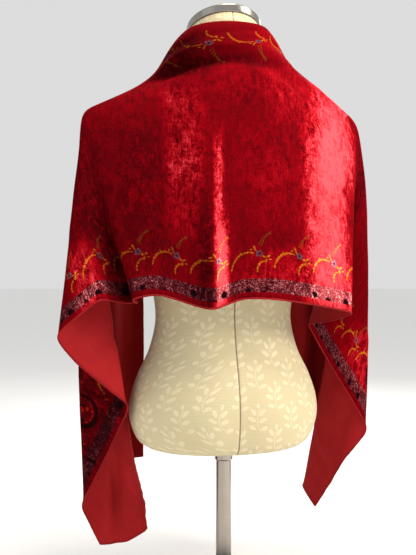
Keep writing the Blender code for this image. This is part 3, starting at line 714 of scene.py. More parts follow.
def velvet():
    """Crushed silk-blend velvet, cut pile about 1 mm: matt, deep, with a glow at grazing angles."""
    made, tree, shader = start_material(
        "crushed velvet, cut pile", Roughness=0.85, Specular_IOR_Level=0.02, Sheen_Weight=0.2,
        Sheen_Roughness=0.3, Sheen_Tint=linear("#f01020"))
    place, u, v = flat_place(tree)
    # the pile's lean with the painted light and shade, broken up by clouds, blots, streaks along and across,
    # and crushed grain
    pile_and_painted_light = add(tree, "ShaderNodeAttribute", output="Fac", attribute_name="lean")
    parts = {
        "clouds": (streaks(tree, place, 6.0, 8.0, 3.0), 0.5),
        "blots": (streaks(tree, place, 1.3, 2.2, 51.0, 1.2), 1.5),
        "curls": (streaks(tree, place, 0.5, 1.0, 67.0, 2.2), 1.3),
        "along": (streaks(tree, place, 3.6, 0.4, 11.0), 0.35),
        "across": (streaks(tree, place, 0.36, 2.8, 23.0), 0.55),
        "grain": (streaks(tree, place, 0.34, 0.3, 37.0), 0.6),
    }
    rough_sum = 0.0
    for noise, weight in parts.values():
        rough_sum = add(tree, MATH, {0: noise, 1: weight, 2: rough_sum}, operation="MULTIPLY_ADD")
    middle_sum = 0.5 * sum(weight for noise, weight in parts.values())
    rough_sum = add(tree, MATH, {0: rough_sum, 1: middle_sum}, operation="SUBTRACT")
    # how far the value stands from rest, through pile lean and painted light alike; the noise grows with it,
    # and is calmed again on the painted bright side and the crease's painted highlight
    off_rest = add(tree, MATH, {0: pile_and_painted_light, 1: PILE_REST}, operation="SUBTRACT")
    off_rest = add(tree, MATH, {0: off_rest}, operation="ABSOLUTE")
    crushed = add(tree, RANGE, {"Value": off_rest, "From Max": 0.3, "To Min": 0.14, "To Max": 1.1})
    smoothed = add(tree, RANGE, {"Value": off_rest, "From Min": 0.35, "From Max": 0.6, "To Max": 0.55})
    crushed = add(tree, MATH, {0: crushed, 1: smoothed}, operation="SUBTRACT")
    calm = add(tree, RANGE, {"Value": v, "From Min": 12.0, "From Max": 20.0, "To Min": 0.45})
    crushed = add(tree, MATH, {0: crushed, 1: calm}, operation="MULTIPLY")
    nap_and_painted_light = add(tree, MATH, {0: rough_sum, 1: crushed, 2: pile_and_painted_light}, operation="MULTIPLY_ADD", use_clamp=True)
    dyed = {name: add(tree, RAMP, {"Fac": nap_and_painted_light}, stops=stops) for name, stops in DYES.items()}
    # the strip along the border: fine threads of rose on wine, rubbed thin unevenly and faded where painted
    # shade lies, with dark flowers
    grain, blots, curls = (parts[name][0] for name in ("grain", "blots", "curls"))
    long_edge, end, at_end = border_distances(tree, u, v, STRIP_SHIFT)
    nearest = add(tree, MATH, {0: long_edge, 1: end}, operation="MINIMUM")
    strip = band_mask(tree, nearest, MARGIN, MARGIN + STRIP_WIDTH, grain)
    bent = add(tree, NOISE, {"Vector": place, "Scale": 1.1, "Detail": 2.0}, output="Color")
    scroll_place = add(tree, VECTOR, {0: bent, 1: (1.6, 1.6, 0), 2: place}, operation="MULTIPLY_ADD")
    web = add(tree, VORONOI, {"Vector": scroll_place, "Scale": 1.9},
              feature="DISTANCE_TO_EDGE", voronoi_dimensions="2D")
    threads = add(tree, RANGE, {"Value": web, "From Min": 0.14, "From Max": 0.04})
    # the last entry is painted shade: the threads fade to the ground where the value kept on the mesh is low,
    # in the collar's troughs and on the shaded end
    wear_and_painted_shade = ((curls, 0.4, 0.62, 0.08), (blots, 0.4, 0.56, 0.3), (pile_and_painted_light, 0.1, 0.24, 0.14))
    for value, low, high, least in wear_and_painted_shade:
        worn_and_shaded = add(tree, RANGE, {"Value": value, "From Min": low, "From Max": high, "To Min": least})
        threads = add(tree, MATH, {0: threads, 1: worn_and_shaded}, operation="MULTIPLY")
    blossom = add(tree, VORONOI, {"Vector": place, "Scale": 0.34, "Randomness": 0.55},
                  feature="F1", voronoi_dimensions="2D")
    petals = add(tree, MATH, {0: blots, 1: 0.3, 2: blossom}, operation="MULTIPLY_ADD")
    spots = add(tree, RANGE, {"Value": petals, "From Min": 0.38, "From Max": 0.3})
    scrolls = add(tree, MIX, {"Factor": threads, "A": dyed["wine"], "B": dyed["rose"]}, **BLEND)
    scrolls = add(tree, MIX, {"Factor": spots, "A": scrolls, "B": linear(INK_DARK)}, **BLEND)
    colour = add(tree, MIX, {"Factor": strip, "A": dyed["crimson"], "B": scrolls}, **BLEND)
    # the vine along the long edges
    long_edge, end, at_end = border_distances(tree, u, v, VINE_SHIFT)
    near_end = add(tree, MATH, {0: end, 1: PAISLEY_FIRST + PAISLEY_REPEAT / 2}, operation="LESS_THAN")
    not_end = add(tree, MATH, {0: 1.0, 1: near_end}, operation="SUBTRACT")
    cell = repeat_place(tree, u, long_edge, VINE_REPEAT, VINE_BEFORE, FLOWER_AT, FLOWER_IN)
    ragged = add(tree, MATH, {0: grain, 1: 3.0, 2: -0.5}, operation="MULTIPLY_ADD")
    frayed = add(tree, RANGE, {"Value": grain, "From Min": 0.36, "From Max": 0.54, "To Min": 0.35})
    vine_marks = ((VINE, dyed["gold"]), (SPRIGS, dyed["olive"]), (VINE_FLOWER, dyed["slate"]),
                  (VINE_EYE, linear(INK_EYE)))
    for rows, ink in vine_marks:
        mask = add(tree, MATH, {0: mark_mask(tree, cell, rows, ragged), 1: not_end}, operation="MULTIPLY")
        mask = add(tree, MATH, {0: mask, 1: frayed}, operation="MULTIPLY")
        colour = add(tree, MIX, {"Factor": mask, "A": colour, "B": ink}, **BLEND)
    # the paisleys near the ends, two along each long edge and three along the end itself
    along = add(tree, MATH, {0: end, 1: PAISLEY_FIRST}, operation="SUBTRACT")
    across = add(tree, MATH, {0: v, 1: SCARF_WIDTH / 2}, operation="SUBTRACT")
    along = add(tree, MIX, {"Factor": at_end, "A": along, "B": across}, **CHOICE)
    distance = add(tree, MIX, {"Factor": at_end, "A": long_edge, "B": end}, **CHOICE)
    cell = repeat_place(tree, along, distance, PAISLEY_REPEAT, PAISLEY_REPEAT / 2, 0.0, PAISLEY_IN)
    corner = add(tree, MIX, {"Factor": at_end, "A": end, "B": long_edge}, **CHOICE)
    outside = add(tree, MATH, {0: corner, 1: PAISLEY_FROM_CORNER}, operation="GREATER_THAN")
    shown = add(tree, MATH, {0: outside, 1: near_end}, operation="MULTIPLY")
    for rows, ink in ((PAISLEY_LINE, dyed["oxblood"]), (PAISLEY_HEART, dyed["ember"])):
        mask = add(tree, MATH, {0: mark_mask(tree, cell, rows, ragged), 1: shown}, operation="MULTIPLY")
        colour = add(tree, MIX, {"Factor": mask, "A": colour, "B": ink}, **BLEND)
    tree.links.new(colour, shader.inputs["Base Color"])
    # the pile's relief: streaks about 1 mm deep, drawn at 4 mm where the real pile is too fine to show
    bump = add(tree, "ShaderNodeBump", {"Height": nap_and_painted_light, "Strength": 0.3, "Distance": 0.0012})
    tree.links.new(bump, shader.inputs["Normal"])
    return made


VELVET = velvet()
print(VELVET.name, "with", len(VELVET.node_tree.nodes), "nodes")

# %% [markdown]
# ## The reverse
# Behind the pile lies the plain woven ground, dyed the same red but flat and matt. Its thread spacing is
# about half a millimetre, too fine to show, so the weave is drawn at two millimetres.

# %% The reverse's material
WEAVE_PITCH = 2 * MM


def plain_ground(name, base, pale):
    """A plain weave: two crossed sine waves of WEAVE_PITCH, with slow clouds and slubs in its colour."""
    made, tree, shader = start_material(
        name, Roughness=0.7, Specular_IOR_Level=0.12, Sheen_Weight=0.1, Sheen_Roughness=0.5,
        Sheen_Tint=linear("#ff6060"))
    place, u, v = flat_place(tree)
    clouds = streaks(tree, place, 9.0, 6.0, 5.0)
    slubs = streaks(tree, place, 3.0, 0.25, 17.0)
    tone = add(tree, MATH, {0: slubs, 1: 0.35, 2: clouds}, operation="MULTIPLY_ADD")
    tone = add(tree, RANGE, {"Value": tone, "From Min": 0.45, "From Max": 0.95})
    colour = add(tree, MIX, {"Factor": tone, "A": linear(base), "B": linear(pale)}, **BLEND)
    tree.links.new(colour, shader.inputs["Base Color"])
    waves = []
    for axis in (u, v):
        turned = add(tree, MATH, {0: axis, 1: 2 * math.pi / WEAVE_PITCH}, operation="MULTIPLY")
        waves.append(add(tree, MATH, {0: turned}, operation="SINE"))
    weave = add(tree, MATH, {0: waves[0], 1: waves[1]}, operation="MULTIPLY")
    height = add(tree, MATH, {0: slubs, 1: 1.5, 2: weave}, operation="MULTIPLY_ADD")
    bump = add(tree, "ShaderNodeBump", {"Height": height, "Strength": 0.25, "Distance": 0.0003})
    tree.links.new(bump, shader.inputs["Normal"])
    return made


REVERSE = plain_ground("woven velvet ground, reverse", "#921216", "#aa1c20")
HEM_CLOTH = plain_ground("rolled velvet edge", "#6c060c", "#a0141c")
print(REVERSE.name, "and", HEM_CLOTH.name)

# %% [markdown]
# ## The panel as a thin shell
# The panel becomes a closed shell: the middle surface pushed half the thickness out for the pile side, half
# in for the reverse, and joined round the border. Faces carry one material or the other, and the flat place
# is kept as a UV map, so that the print follows the cloth through every fold.

# %% Mesh helpers and the panel
def make_mesh(name, points, *faces):
    """A mesh object at the origin from an array of points in centimetres and arrays of faces, one for each
    number of corners."""
    mesh = bpy.data.meshes.new(name)
    faces = sum((block.tolist() for block in faces), [])
    mesh.from_pydata((points.reshape(-1, 3) * CM).tolist(), [], faces)
    mesh.validate()
    mesh.shade_smooth()
    made = bpy.data.objects.new(name, mesh)
    bpy.context.scene.collection.objects.link(made)
    return made


def grid_quads(index, flip=False):
    """The quads of a grid of point numbers, anticlockwise seen from the side that axis 0 cross axis 1
    points to, or clockwise with flip."""
    corners = [index[:-1, :-1], index[1:, :-1], index[1:, 1:], index[:-1, 1:]]
    quads = np.stack(corners[::-1] if flip else corners, -1)
    return quads.reshape(-1, 4)


def keep_flat(made, place):
    """The flat place of each point, given in centimetres, as a UV map in metres."""
    mesh = made.data
    corner = np.empty(len(mesh.loops), dtype=np.int32)
    mesh.loops.foreach_get("vertex_index", corner)
    layer = mesh.uv_layers.new(name="flat")
    layer.uv.foreach_set("vector", (place[corner] * CM).astype(np.float32).ravel())


def keep_value(made, name, values):
    """A number for each point of the mesh."""
    attribute = made.data.attributes.new(name, "FLOAT", "POINT")
    attribute.data.foreach_set("value", values.astype(np.float32).ravel())


def border_of(index):
    """The point numbers round a grid, first along one long edge and then on round the corners."""
    return np.concatenate([index[:-1, 0], index[-1, :-1], index[:0:-1, -1], index[0, :0:-1]])


def build_panel():
    """Outer and inner skins at half the thickness from the middle surface, joined by a rim."""
    n, m = flat_u.shape
    half = CLOTH_THICKNESS / 2
    points = np.stack([middle + half * outwards, middle - half * outwards])
    index = np.arange(2 * n * m).reshape(2, n, m)
    outer, inner = grid_quads(index[0], flip=True), grid_quads(index[1])
    here, below = border_of(index[0]), border_of(index[1])
    rim = np.stack([here, np.roll(here, -1), np.roll(below, -1), below], -1)
    made = make_mesh("scarf_panel", points, np.concatenate([outer, inner, rim]))
    flat = np.stack([flat_u, flat_v], -1).reshape(-1, 2)
    keep_flat(made, np.concatenate([flat, flat]))
    # the value kept as lean is the pile's lean together with the painted light and shade
    keep_value(made, "lean", np.concatenate([lean.ravel(), lean.ravel()]))
    for finish in (VELVET, REVERSE):
        made.data.materials.append(finish)
    slots = np.zeros(len(made.data.polygons), dtype=np.int32)
    slots[len(outer):len(outer) + len(inner)] = 1
    made.data.polygons.foreach_set("material_index", slots)
    return made


panel = build_panel()
print(panel.name, len(panel.data.polygons), "quads")

# %% [markdown]
# ## The rolled hem
# The edge is rolled over once and caught with small stitches, which leaves a round cord of cloth all along
# the border. It is an oval carried along the border's path. The stitches are short slanted bars of thread
# on its inner side, one every five millimetres.

# %% The hem and its stitches
HEM_WIDTH = 3.2 * MM
HEM_HEIGHT = 2.4 * MM
HEM_STEP = 2.5 * MM
HEM_SIDES = 10
HEM_INSET = 0.5 * MM
STITCH_SPACING = 5 * MM
STITCH_LENGTH = 2.6 * MM
STITCH_RADIUS = 0.28 * MM
STITCH_SLANT = 0.9
STITCH_INSET = 1.6 * MM
STITCH_BEHIND = 0.95 * MM
BAR_RINGS = 4
BAR_SIDES = 6
BAR_END = 0.35


def border_path():
    """Places, outward directions in the cloth, normals and flat places round the border, evenly spaced."""
    edge_out = np.zeros_like(middle)
    slope_u, slope_v = unit(np.gradient(middle, axis=0)), unit(np.gradient(middle, axis=1))
    edge_out[:, 0] -= slope_v[:, 0]
    edge_out[:, -1] += slope_v[:, -1]
    edge_out[0] -= slope_u[0]
    edge_out[-1] += slope_u[-1]
    index = border_of(np.arange(flat_u.size).reshape(flat_u.shape))
    loop = np.append(index, index[0])
    columns = [middle.reshape(-1, 3), edge_out.reshape(-1, 3), outwards.reshape(-1, 3),
               flat_u.reshape(-1, 1), flat_v.reshape(-1, 1)]
    rows = np.concatenate(columns, -1)[loop]
    run = np.append(0, np.cumsum(np.linalg.norm(np.diff(rows[:, :3], axis=0), axis=-1)))
    places = np.linspace(0, run[-1], round(run[-1] / HEM_STEP) + 1)[:-1]
    rows = np.stack([np.interp(places, run, column) for column in rows.T], -1)
    out, normal = unit(rows[:, 3:6]), unit(rows[:, 6:9])
    return places, rows[:, :3], out, normal, rows[:, 9:]


def build_hem():
    """An oval round each place of the path, half its width times cos a outwards plus half its height times
    sin a along the normal; two slow sine waves make it swell unevenly."""
    places, centre, out, normal, flat = border_path()
    angle = np.linspace(0, 2 * np.pi, HEM_SIDES, endpoint=False)[None, :, None]
    swell = (1 + 0.07 * np.sin(places * 1.7) + 0.05 * np.sin(places * 4.1 + 1))[:, None, None]
    oval = HEM_WIDTH / 2 * np.cos(angle) * out[:, None] + HEM_HEIGHT / 2 * np.sin(angle) * normal[:, None]
    points = (centre - HEM_INSET * out)[:, None] + swell * oval
    index = np.arange(points.shape[0] * HEM_SIDES).reshape(-1, HEM_SIDES)
    index = np.concatenate([index, index[:1]])
    index = np.concatenate([index, index[:, :1]], axis=1)
    made = make_mesh("scarf_hem", points, grid_quads(index, flip=True))
    keep_flat(made, np.repeat(flat, HEM_SIDES, axis=0))
    made.data.materials.append(HEM_CLOTH)
    return made


def bars(centres, directions, sideways, length, radius):
    """Short six-sided bars along their directions: circles of radius times cos a sideways and sin a across,
    with the first and last drawn in to the share BAR_END."""
    share = np.linspace(0, 1, BAR_RINGS)
    width = radius * np.array([BAR_END] + [1.0] * (BAR_RINGS - 2) + [BAR_END])
    angle = np.linspace(0, 2 * np.pi, BAR_SIDES, endpoint=False)
    across = np.cross(directions, sideways)
    along = centres[:, None] + ((share - 0.5) * length)[None, :, None] * directions[:, None]
    circle = np.cos(angle)[:, None] * sideways[:, None] + np.sin(angle)[:, None] * across[:, None]
    points = along[:, :, None] + width[None, :, None, None] * circle[:, None]
    size = BAR_RINGS * BAR_SIDES
    one = np.arange(size).reshape(BAR_RINGS, BAR_SIDES)
    skin = grid_quads(np.concatenate([one, one[:, :1]], axis=1), flip=True)
    cap = np.array([[0, 1, 2, 3], [0, 3, 4, 5]])
    quads = np.concatenate([skin, cap[:, ::-1], cap + size - BAR_SIDES])
    quads = quads[None] + (np.arange(len(centres)) * size)[:, None, None]
    return points, quads.reshape(-1, 4)


def build_stitches():
    """Slanted bars along the hem's inner side on the reverse, one each STITCH_SPACING."""
    places, centre, out, normal, flat = border_path()
    every = round(STITCH_SPACING / HEM_STEP)
    centre, out, normal = centre[::every], out[::every], normal[::every]
    along = unit(np.cross(out, normal))
    direction = unit(along + STITCH_SLANT * out)
    seat = centre - STITCH_INSET * out - STITCH_BEHIND * normal
    points, quads = bars(seat, direction, unit(np.cross(direction, normal)), STITCH_LENGTH, STITCH_RADIUS)
    return make_mesh("hem_stitches", points, quads)


def thread():
    """Polyester sewing thread: a little lighter and shinier than the cloth it holds."""
    made, tree, shader = start_material("polyester sewing thread", Roughness=0.45, Specular_IOR_Level=0.4)
    place = add(tree, "ShaderNodeTexCoord", output="Object")
    noise = add(tree, NOISE, {"Vector": place, "Scale": 400.0})
    colour = add(tree, MIX, {"Factor": noise, "A": linear("#8c0e14"), "B": linear("#c02a30")}, **BLEND)
    tree.links.new(colour, shader.inputs["Base Color"])
    return made


hem = build_hem()
stitches = build_stitches()
stitches.data.materials.append(thread())
print(hem.name, len(hem.data.polygons), "quads;", stitches.name, len(stitches.data.polygons), "quads")

# %% [markdown]
# ## The dress form
# A dress form is a shell of papier-mache or foam under a fitted woven cover, sewn with seams down the
# middle and the sides. Its sections are ovals from a table, joined by smooth curves. Each seam is a fine
# groove with the cover swelling a little on both sides of it.

# %% The form's surface
NECK_LEAN = 0.33
HOLLOW_WIDTH = 3.0
FORM = table("z half_width back front squareness lean hollow", [
    (24.3, 11.5, 8.0, 7.0, 2.1, 0.0, 0.0),
    (24.9, 13.2, 9.8, 8.6, 2.1, 0.0, 0.3),
    (26.3, 14.8, 10.9, 9.8, 2.1, 0.0, 0.5),
    (29.5, 16.0, 11.6, 10.4, 2.1, 0.0, 0.6),
    (33.0, 15.9, 11.5, 10.6, 2.1, 0.0, 0.5),
    (37.0, 14.6, 10.4, 10.2, 2.1, 0.0, 0.3),
    (41.0, 12.7, 8.9, 9.5, 2.1, 0.0, 0.3),
    (46.0, 11.6, 7.8, 9.0, 2.1, 0.0, 0.3),
    (51.0, 12.1, 8.3, 9.3, 2.1, 0.0, 0.3),
    (57.0, 13.2, 9.3, 10.4, 2.2, 0.0, 0.3),
    (63.0, 14.2, 10.0, 12.3, 2.3, 0.0, 0.3),
    (68.0, 15.2, 10.3, 12.8, 2.4, 0.0, 0.2),
    (72.0, 17.0, 9.9, 11.6, 2.4, 0.0, 0.1),
    (75.0, 18.6, 8.8, 10.0, 2.3, 0.0, 0.0),
    (77.5, 19.4, 7.4, 8.4, 2.2, 0.0, 0.0),
    (79.4, 19.3, 6.3, 6.8, 2.1, 0.0, 0.0),
    (80.9, 18.6, 5.8, 5.8, 2.0, 0.0, 0.0),
    (82.6, 16.8, 5.9, 5.2, 2.0, 0.0, 0.0),
    (84.4, 13.75, 6.36, 4.9, 2.0, 0.0, 0.0),
    (86.0, 10.6, 6.4, 4.9, 2.0, 0.03, 0.0),
    (87.7, 8.2, 6.3, 5.1, 2.0, 0.08, 0.0),
    (90.0, 6.8, 6.4, 5.5, 2.0, 0.18, 0.0),
    (92.2, 6.4, 6.72, 5.8, 2.0, 0.28, 0.0),
    (94.3, 6.1, 6.15, 5.9, 2.0, NECK_LEAN, 0.0),
])
SEAMS = np.radians([-90.0, 0.0, 90.0, 180.0])
SEAM_OFFSETS = np.array([0.0, 0.006, 0.013, 0.022, 0.035, 0.055])
SEAM_DEPTH = 0.9 * MM
SEAM_WIDTH = 1.6 * MM
SEAM_SWELL = 0.35
PLAIN_SIDES = 104
FIRST_ANGLE = 0.011
ROWS_BETWEEN = 7
CLOSING_SHARES = (0.66, 0.33, 0.0)


def form_angles():
    """Even angles round the form, with closer ones beside each seam."""
    even = np.linspace(-np.pi, np.pi, PLAIN_SIDES, endpoint=False) + FIRST_ANGLE
    near = np.concatenate([SEAMS[:, None] + SEAM_OFFSETS, SEAMS[:, None] - SEAM_OFFSETS], axis=1).ravel()
    angles = np.mod(np.concatenate([even, near]) + np.pi / 2, 2 * np.pi)
    gap = np.abs(np.mod(angles[:PLAIN_SIDES, None] - SEAMS[None] - np.pi / 2 + np.pi, 2 * np.pi) - np.pi)
    keep = np.append(gap.min(axis=1) > SEAM_OFFSETS[-1] + 0.01, np.ones(near.size, dtype=bool))
    return np.unique(np.round(angles[keep], 5)) - np.pi / 2


def form_surface():
    """Ovals |x/a|^p + |y/b|^p = 1 through the table's rows, with a hollow down the back's middle and, at
    each seam, a bell-shaped groove less a wider, lower bell. Also the flat place and the way to a seam."""
    row = np.arange(len(FORM["z"]), dtype=float)
    rows = dict(FORM, row=row)
    at = np.linspace(0, row[-1], int(row[-1]) * ROWS_BETWEEN + 1)[:, None]
    angle = form_angles()[None, :]
    part = {name: curve(rows, "row", name, at) for name in FORM}
    c, s = np.cos(angle), np.sin(angle)
    x = part["half_width"] * np.sign(c) * np.abs(c) ** (2 / part["squareness"])
    y = np.where(s < 0, part["back"], part["front"]) * np.sign(s) * np.abs(s) ** (2 / part["squareness"])
    y = y + np.where(s < 0, part["hollow"] * np.exp(-((x / HOLLOW_WIDTH) ** 2)) * np.abs(s), 0.0)
    away = np.abs(np.mod(angle[..., None] - SEAMS + np.pi, 2 * np.pi) - np.pi).min(axis=-1)
    length = np.hypot(x, y)
    away = away * length
    swell = SEAM_SWELL * np.exp(-((away / (3 * SEAM_WIDTH)) ** 2))
    raised = SEAM_DEPTH * (swell - np.exp(-((away / SEAM_WIDTH) ** 2)))
    x, y = x * (1 + raised / length), y * (1 + raised / length)
    points = np.stack([x, y, part["z"] - part["lean"] * y], -1)
    girth = np.cumsum(np.linalg.norm(np.diff(points, axis=1, prepend=points[:, -1:]), axis=-1), axis=1)
    back_seam, front_seam = (np.argmin(np.abs(angle[0] - SEAMS[k])) for k in (0, 2))
    nearer = np.where(angle[0] < 0, back_seam, front_seam)
    girth = girth - np.take_along_axis(girth, np.broadcast_to(nearer, girth.shape), axis=1)
    height = np.broadcast_to(part["z"], girth.shape)
    return points, np.stack([girth, height], -1), away


def close_grid(points, *others):
    """Rings drawn in to the middle below and above, which close the surface with flat ends; what the others
    hold for each point is repeated there."""
    low, high = points[:1], points[-1:]
    bottom = [low.mean(axis=1, keepdims=True) * (1 - k) + low * k for k in reversed(CLOSING_SHARES)]
    top = [high.mean(axis=1, keepdims=True) * (1 - k) + high * k for k in CLOSING_SHARES]
    n = len(CLOSING_SHARES)
    repeated = [np.concatenate([other[:1]] * n + [other] + [other[-1:]] * n) for other in others]
    return [np.concatenate(bottom + [points] + top), *repeated]


def build_tube(name, points, flat=None):
    """A closed skin through rings of points: the last column joins the first, and at the two poles, where a
    quad has one point twice, triangles take the quads' place."""
    n, around = points.shape[:2]
    index = np.arange(n * around).reshape(n, around)
    index[0] = index[0, 0]
    index[-1] = index[-1, 0]
    quads = grid_quads(np.concatenate([index, index[:, :1]], axis=1).T)
    at_bottom, at_top = quads[:, 0] == quads[:, 1], quads[:, 2] == quads[:, 3]
    between = quads[~at_bottom & ~at_top]
    made = make_mesh(name, points, between, quads[at_bottom][:, 1:], quads[at_top][:, :3])
    if flat is not None:
        keep_flat(made, flat.reshape(-1, 2))
    return made


form_points, form_flat, from_seam = close_grid(*form_surface())
form = build_tube("form_cover", form_points, form_flat)
keep_value(form, "from_seam", from_seam)
print(form.name, len(form.data.polygons), "faces")

# %% [markdown]
# The cover is cream cotton with a woven tone-on-tone figure: satin sprigs, a little paler and smoother
# than the ribbed ground. Each sprig is a stem with leaves, again a short table of ellipses, set in a
# half-drop repeat of six to seven centimetres.

# %% The cover's material
SPRIG_REPEAT = 6.2
SPRIG_RISE = 6.8
RIB_PITCH = 2.2 * MM
SPRIG = table(MARK_COLUMNS, [
    *beads((3.4, 0.0), 3.5, 212, 152, 9, 0.3, 0.09),
    (-0.8, 1.35, 0.75, 0.36, 128),
    (0.72, 1.25, 0.8, 0.38, 48),
    (-1.05, 0.15, 0.8, 0.38, 150),
    (0.8, -0.1, 0.8, 0.38, 28),
    (-0.85, -1.2, 0.72, 0.34, 160),
    (1.05, -1.45, 0.72, 0.34, 20),
    (0.1, 2.3, 0.45, 0.3, 90),
])


def woven_cover():
    """Cotton damask: matt cream ground, figure in satin weave that is paler and catches more light."""
    made, tree, shader = start_material(
        "cotton damask cover", Specular_IOR_Level=0.35, Sheen_Weight=0.12, Sheen_Roughness=0.5)
    place, u, v = flat_place(tree)
    bend = add(tree, NOISE, {"Vector": place, "Scale": 0.35, "Detail": 1.0}, output="Color")
    bent = add(tree, VECTOR, {0: bend, 1: (0.5, 0.5, 0), 2: place}, operation="MULTIPLY_ADD")
    masks = []
    for shift_u, shift_v in ((0.0, 0.0), (SPRIG_REPEAT / 2, SPRIG_RISE / 2)):
        moved = add(tree, VECTOR, {0: bent, 1: (shift_u, shift_v, 0.0)}, operation="ADD")
        high, low = (SPRIG_REPEAT / 2, SPRIG_RISE / 2, 1), (-SPRIG_REPEAT / 2, -SPRIG_RISE / 2, -1)
        cell = add(tree, VECTOR, {0: moved, 1: high, 2: low}, operation="WRAP")
        masks.append(mark_mask(tree, cell, SPRIG, edge=0.12))
    figure = add(tree, MATH, {0: masks[0], 1: masks[1]}, operation="MAXIMUM")
    ribs = add(tree, MATH, {0: v, 1: 2 * math.pi / RIB_PITCH}, operation="MULTIPLY")
    ribs = add(tree, MATH, {0: ribs}, operation="SINE")
    slubs = streaks(tree, place, 1.6, 0.2, 7.0)
    clouds = streaks(tree, place, 9.0, 9.0, 2.0)
    ground = add(tree, MIX, {"Factor": slubs, "A": linear("#c1b691"), "B": linear("#c9bf9b")}, **BLEND)
    satin = add(tree, MIX, {"Factor": slubs, "A": linear("#cfc5a3"), "B": linear("#d8ceac")}, **BLEND)
    colour = add(tree, MIX, {"Factor": figure, "A": ground, "B": satin}, **BLEND)
    aged = add(tree, RANGE, {"Value": clouds, "From Min": 0.45, "From Max": 0.8, "To Max": 0.3})
    colour = add(tree, MIX, {"Factor": aged, "A": colour, "B": linear("#ccb58a")}, **BLEND)
    # painted shade: a thin dark brown line along each seam stands for the shadow in its groove
    away = add(tree, "ShaderNodeAttribute", output="Fac", attribute_name="from_seam")
    seam = add(tree, RANGE, {"Value": away, "From Min": 0.09, "From Max": 0.03, "To Max": 0.8})
    colour = add(tree, MIX, {"Factor": seam, "A": colour, "B": linear("#5a4c36")}, **BLEND)
    tree.links.new(colour, shader.inputs["Base Color"])
    rough = add(tree, RANGE, {"Value": figure, "To Min": 0.72, "To Max": 0.48})
    tree.links.new(rough, shader.inputs["Roughness"])
    calm = add(tree, MATH, {0: figure, 1: -0.7, 2: 1.0}, operation="MULTIPLY_ADD")
    height = add(tree, MATH, {0: ribs, 1: calm}, operation="MULTIPLY")
    height = add(tree, MATH, {0: figure, 1: 1.6, 2: height}, operation="MULTIPLY_ADD")
    bump = add(tree, "ShaderNodeBump", {"Height": height, "Strength": 0.3, "Distance": 0.0004})
    tree.links.new(bump, shader.inputs["Normal"])
    return made


form.data.materials.append(woven_cover())
print("sprigs every", SPRIG_REPEAT, "by", SPRIG_RISE, "cm")

# %% [markdown]
# ## Neck cap, pole and base
# The neck ends in a spun steel cap with a broad polished rim. Below, a steel tube carries the form and
# stands in the hub of a round cast base. All three are turned shapes: a profile of radius and height
# carried round an axis.

# %% Turned parts
CAP_RADIUS = 6.3
CAP_HEIGHT = 1.45
CAP_FOOT = FORM["z"][-1] + 0.03
BASE_RADIUS = 15.0
BASE_THICKNESS = 1.2
HUB_RADIUS = 2.6
HUB_HEIGHT = 3.6
POLE_RADIUS = 1.3
FIT_GAP = 0.03
EDGE_REACH = 0.12
EDGE_STEPS = 5


def fillet(profile):
    """Each inner corner of a profile becomes a curve: (1-t)^2 p + 2 t (1-t) q + t^2 r from just before it
    to just after it, where q is the corner."""
    profile = np.array(profile, dtype=float)
    t = np.linspace(0, 1, EDGE_STEPS)[:, None]
    pieces = [profile[:1]]
    for before, corner, after in zip(profile[:-2], profile[1:-1], profile[2:]):
        shorter = min(np.linalg.norm(before - corner), np.linalg.norm(after - corner))
        reach = min(EDGE_REACH, 0.45 * shorter)
        p = corner + reach * unit(before - corner)
        r = corner + reach * unit(after - corner)
        pieces.append((1 - t) ** 2 * p + 2 * t * (1 - t) * corner + t**2 * r)
    return np.concatenate(pieces + [profile[-1:]])


def turned(name, profile, foot, around, lean=0.0):
    """Each profile point (r, h) becomes the circle (r cos a, r sin a, foot + h - lean r sin a)."""
    profile = fillet(profile)
    angle = np.linspace(0, 2 * np.pi, around, endpoint=False)[None]
    radius, height = profile[:, :1], profile[:, 1:]
    x, y = radius * np.cos(angle), radius * np.sin(angle)
    return build_tube(name, np.stack([x, y, foot + height - lean * y], -1))


cap = turned("neck_cap_shell", [
    (0.0, 0.0), (CAP_RADIUS - 0.5, 0.0), (CAP_RADIUS - 0.1, 0.02), (CAP_RADIUS, 0.16),
    (CAP_RADIUS, CAP_HEIGHT - 0.3), (CAP_RADIUS - 0.12, CAP_HEIGHT - 0.1), (CAP_RADIUS - 0.5, CAP_HEIGHT),
    (CAP_RADIUS - 1.1, CAP_HEIGHT - 0.02), (CAP_RADIUS - 1.3, CAP_HEIGHT - 0.14),
    (3.4, CAP_HEIGHT + 0.12), (1.2, CAP_HEIGHT + 0.3), (0.0, CAP_HEIGHT + 0.33)],
    CAP_FOOT, 128, NECK_LEAN)
pole_length = FORM["z"][0] - FIT_GAP - HUB_HEIGHT
pole = turned("stand_pole", [
    (0.0, 0.0), (POLE_RADIUS, 0.0), (POLE_RADIUS, pole_length - 2.2),
    (POLE_RADIUS + 0.25, pole_length - 2.1), (POLE_RADIUS + 0.25, pole_length - 0.7),
    (POLE_RADIUS + 1.6, pole_length - 0.4), (POLE_RADIUS + 1.6, pole_length - 0.04),
    (0.0, pole_length - 0.04)], HUB_HEIGHT + FIT_GAP, 96)
base = turned("stand_base", [
    (0.0, 0.0), (BASE_RADIUS - 0.25, 0.0), (BASE_RADIUS, 0.22), (BASE_RADIUS, BASE_THICKNESS - 0.35),
    (BASE_RADIUS - 0.3, BASE_THICKNESS - 0.1), (BASE_RADIUS - 1.6, BASE_THICKNESS - 0.06),
    (BASE_RADIUS - 1.8, BASE_THICKNESS + 0.08), (HUB_RADIUS + 1.2, BASE_THICKNESS + 0.22),
    (HUB_RADIUS + 0.2, BASE_THICKNESS + 0.7), (HUB_RADIUS - 0.3, HUB_HEIGHT - 0.25),
    (HUB_RADIUS - 0.5, HUB_HEIGHT), (0.0, HUB_HEIGHT)], 0.0, 160)
print("turned", [piece.name for piece in (cap, pole, base)])

# %% [markdown]
# Spun steel shows very fine rings from the tool, and picks up finger marks that dull the shine in soft
# patches. The base is enamelled: a smooth black coat with the faint unevenness of a sprayed finish.

# %% Steel and enamel
RING_PITCH = 0.001


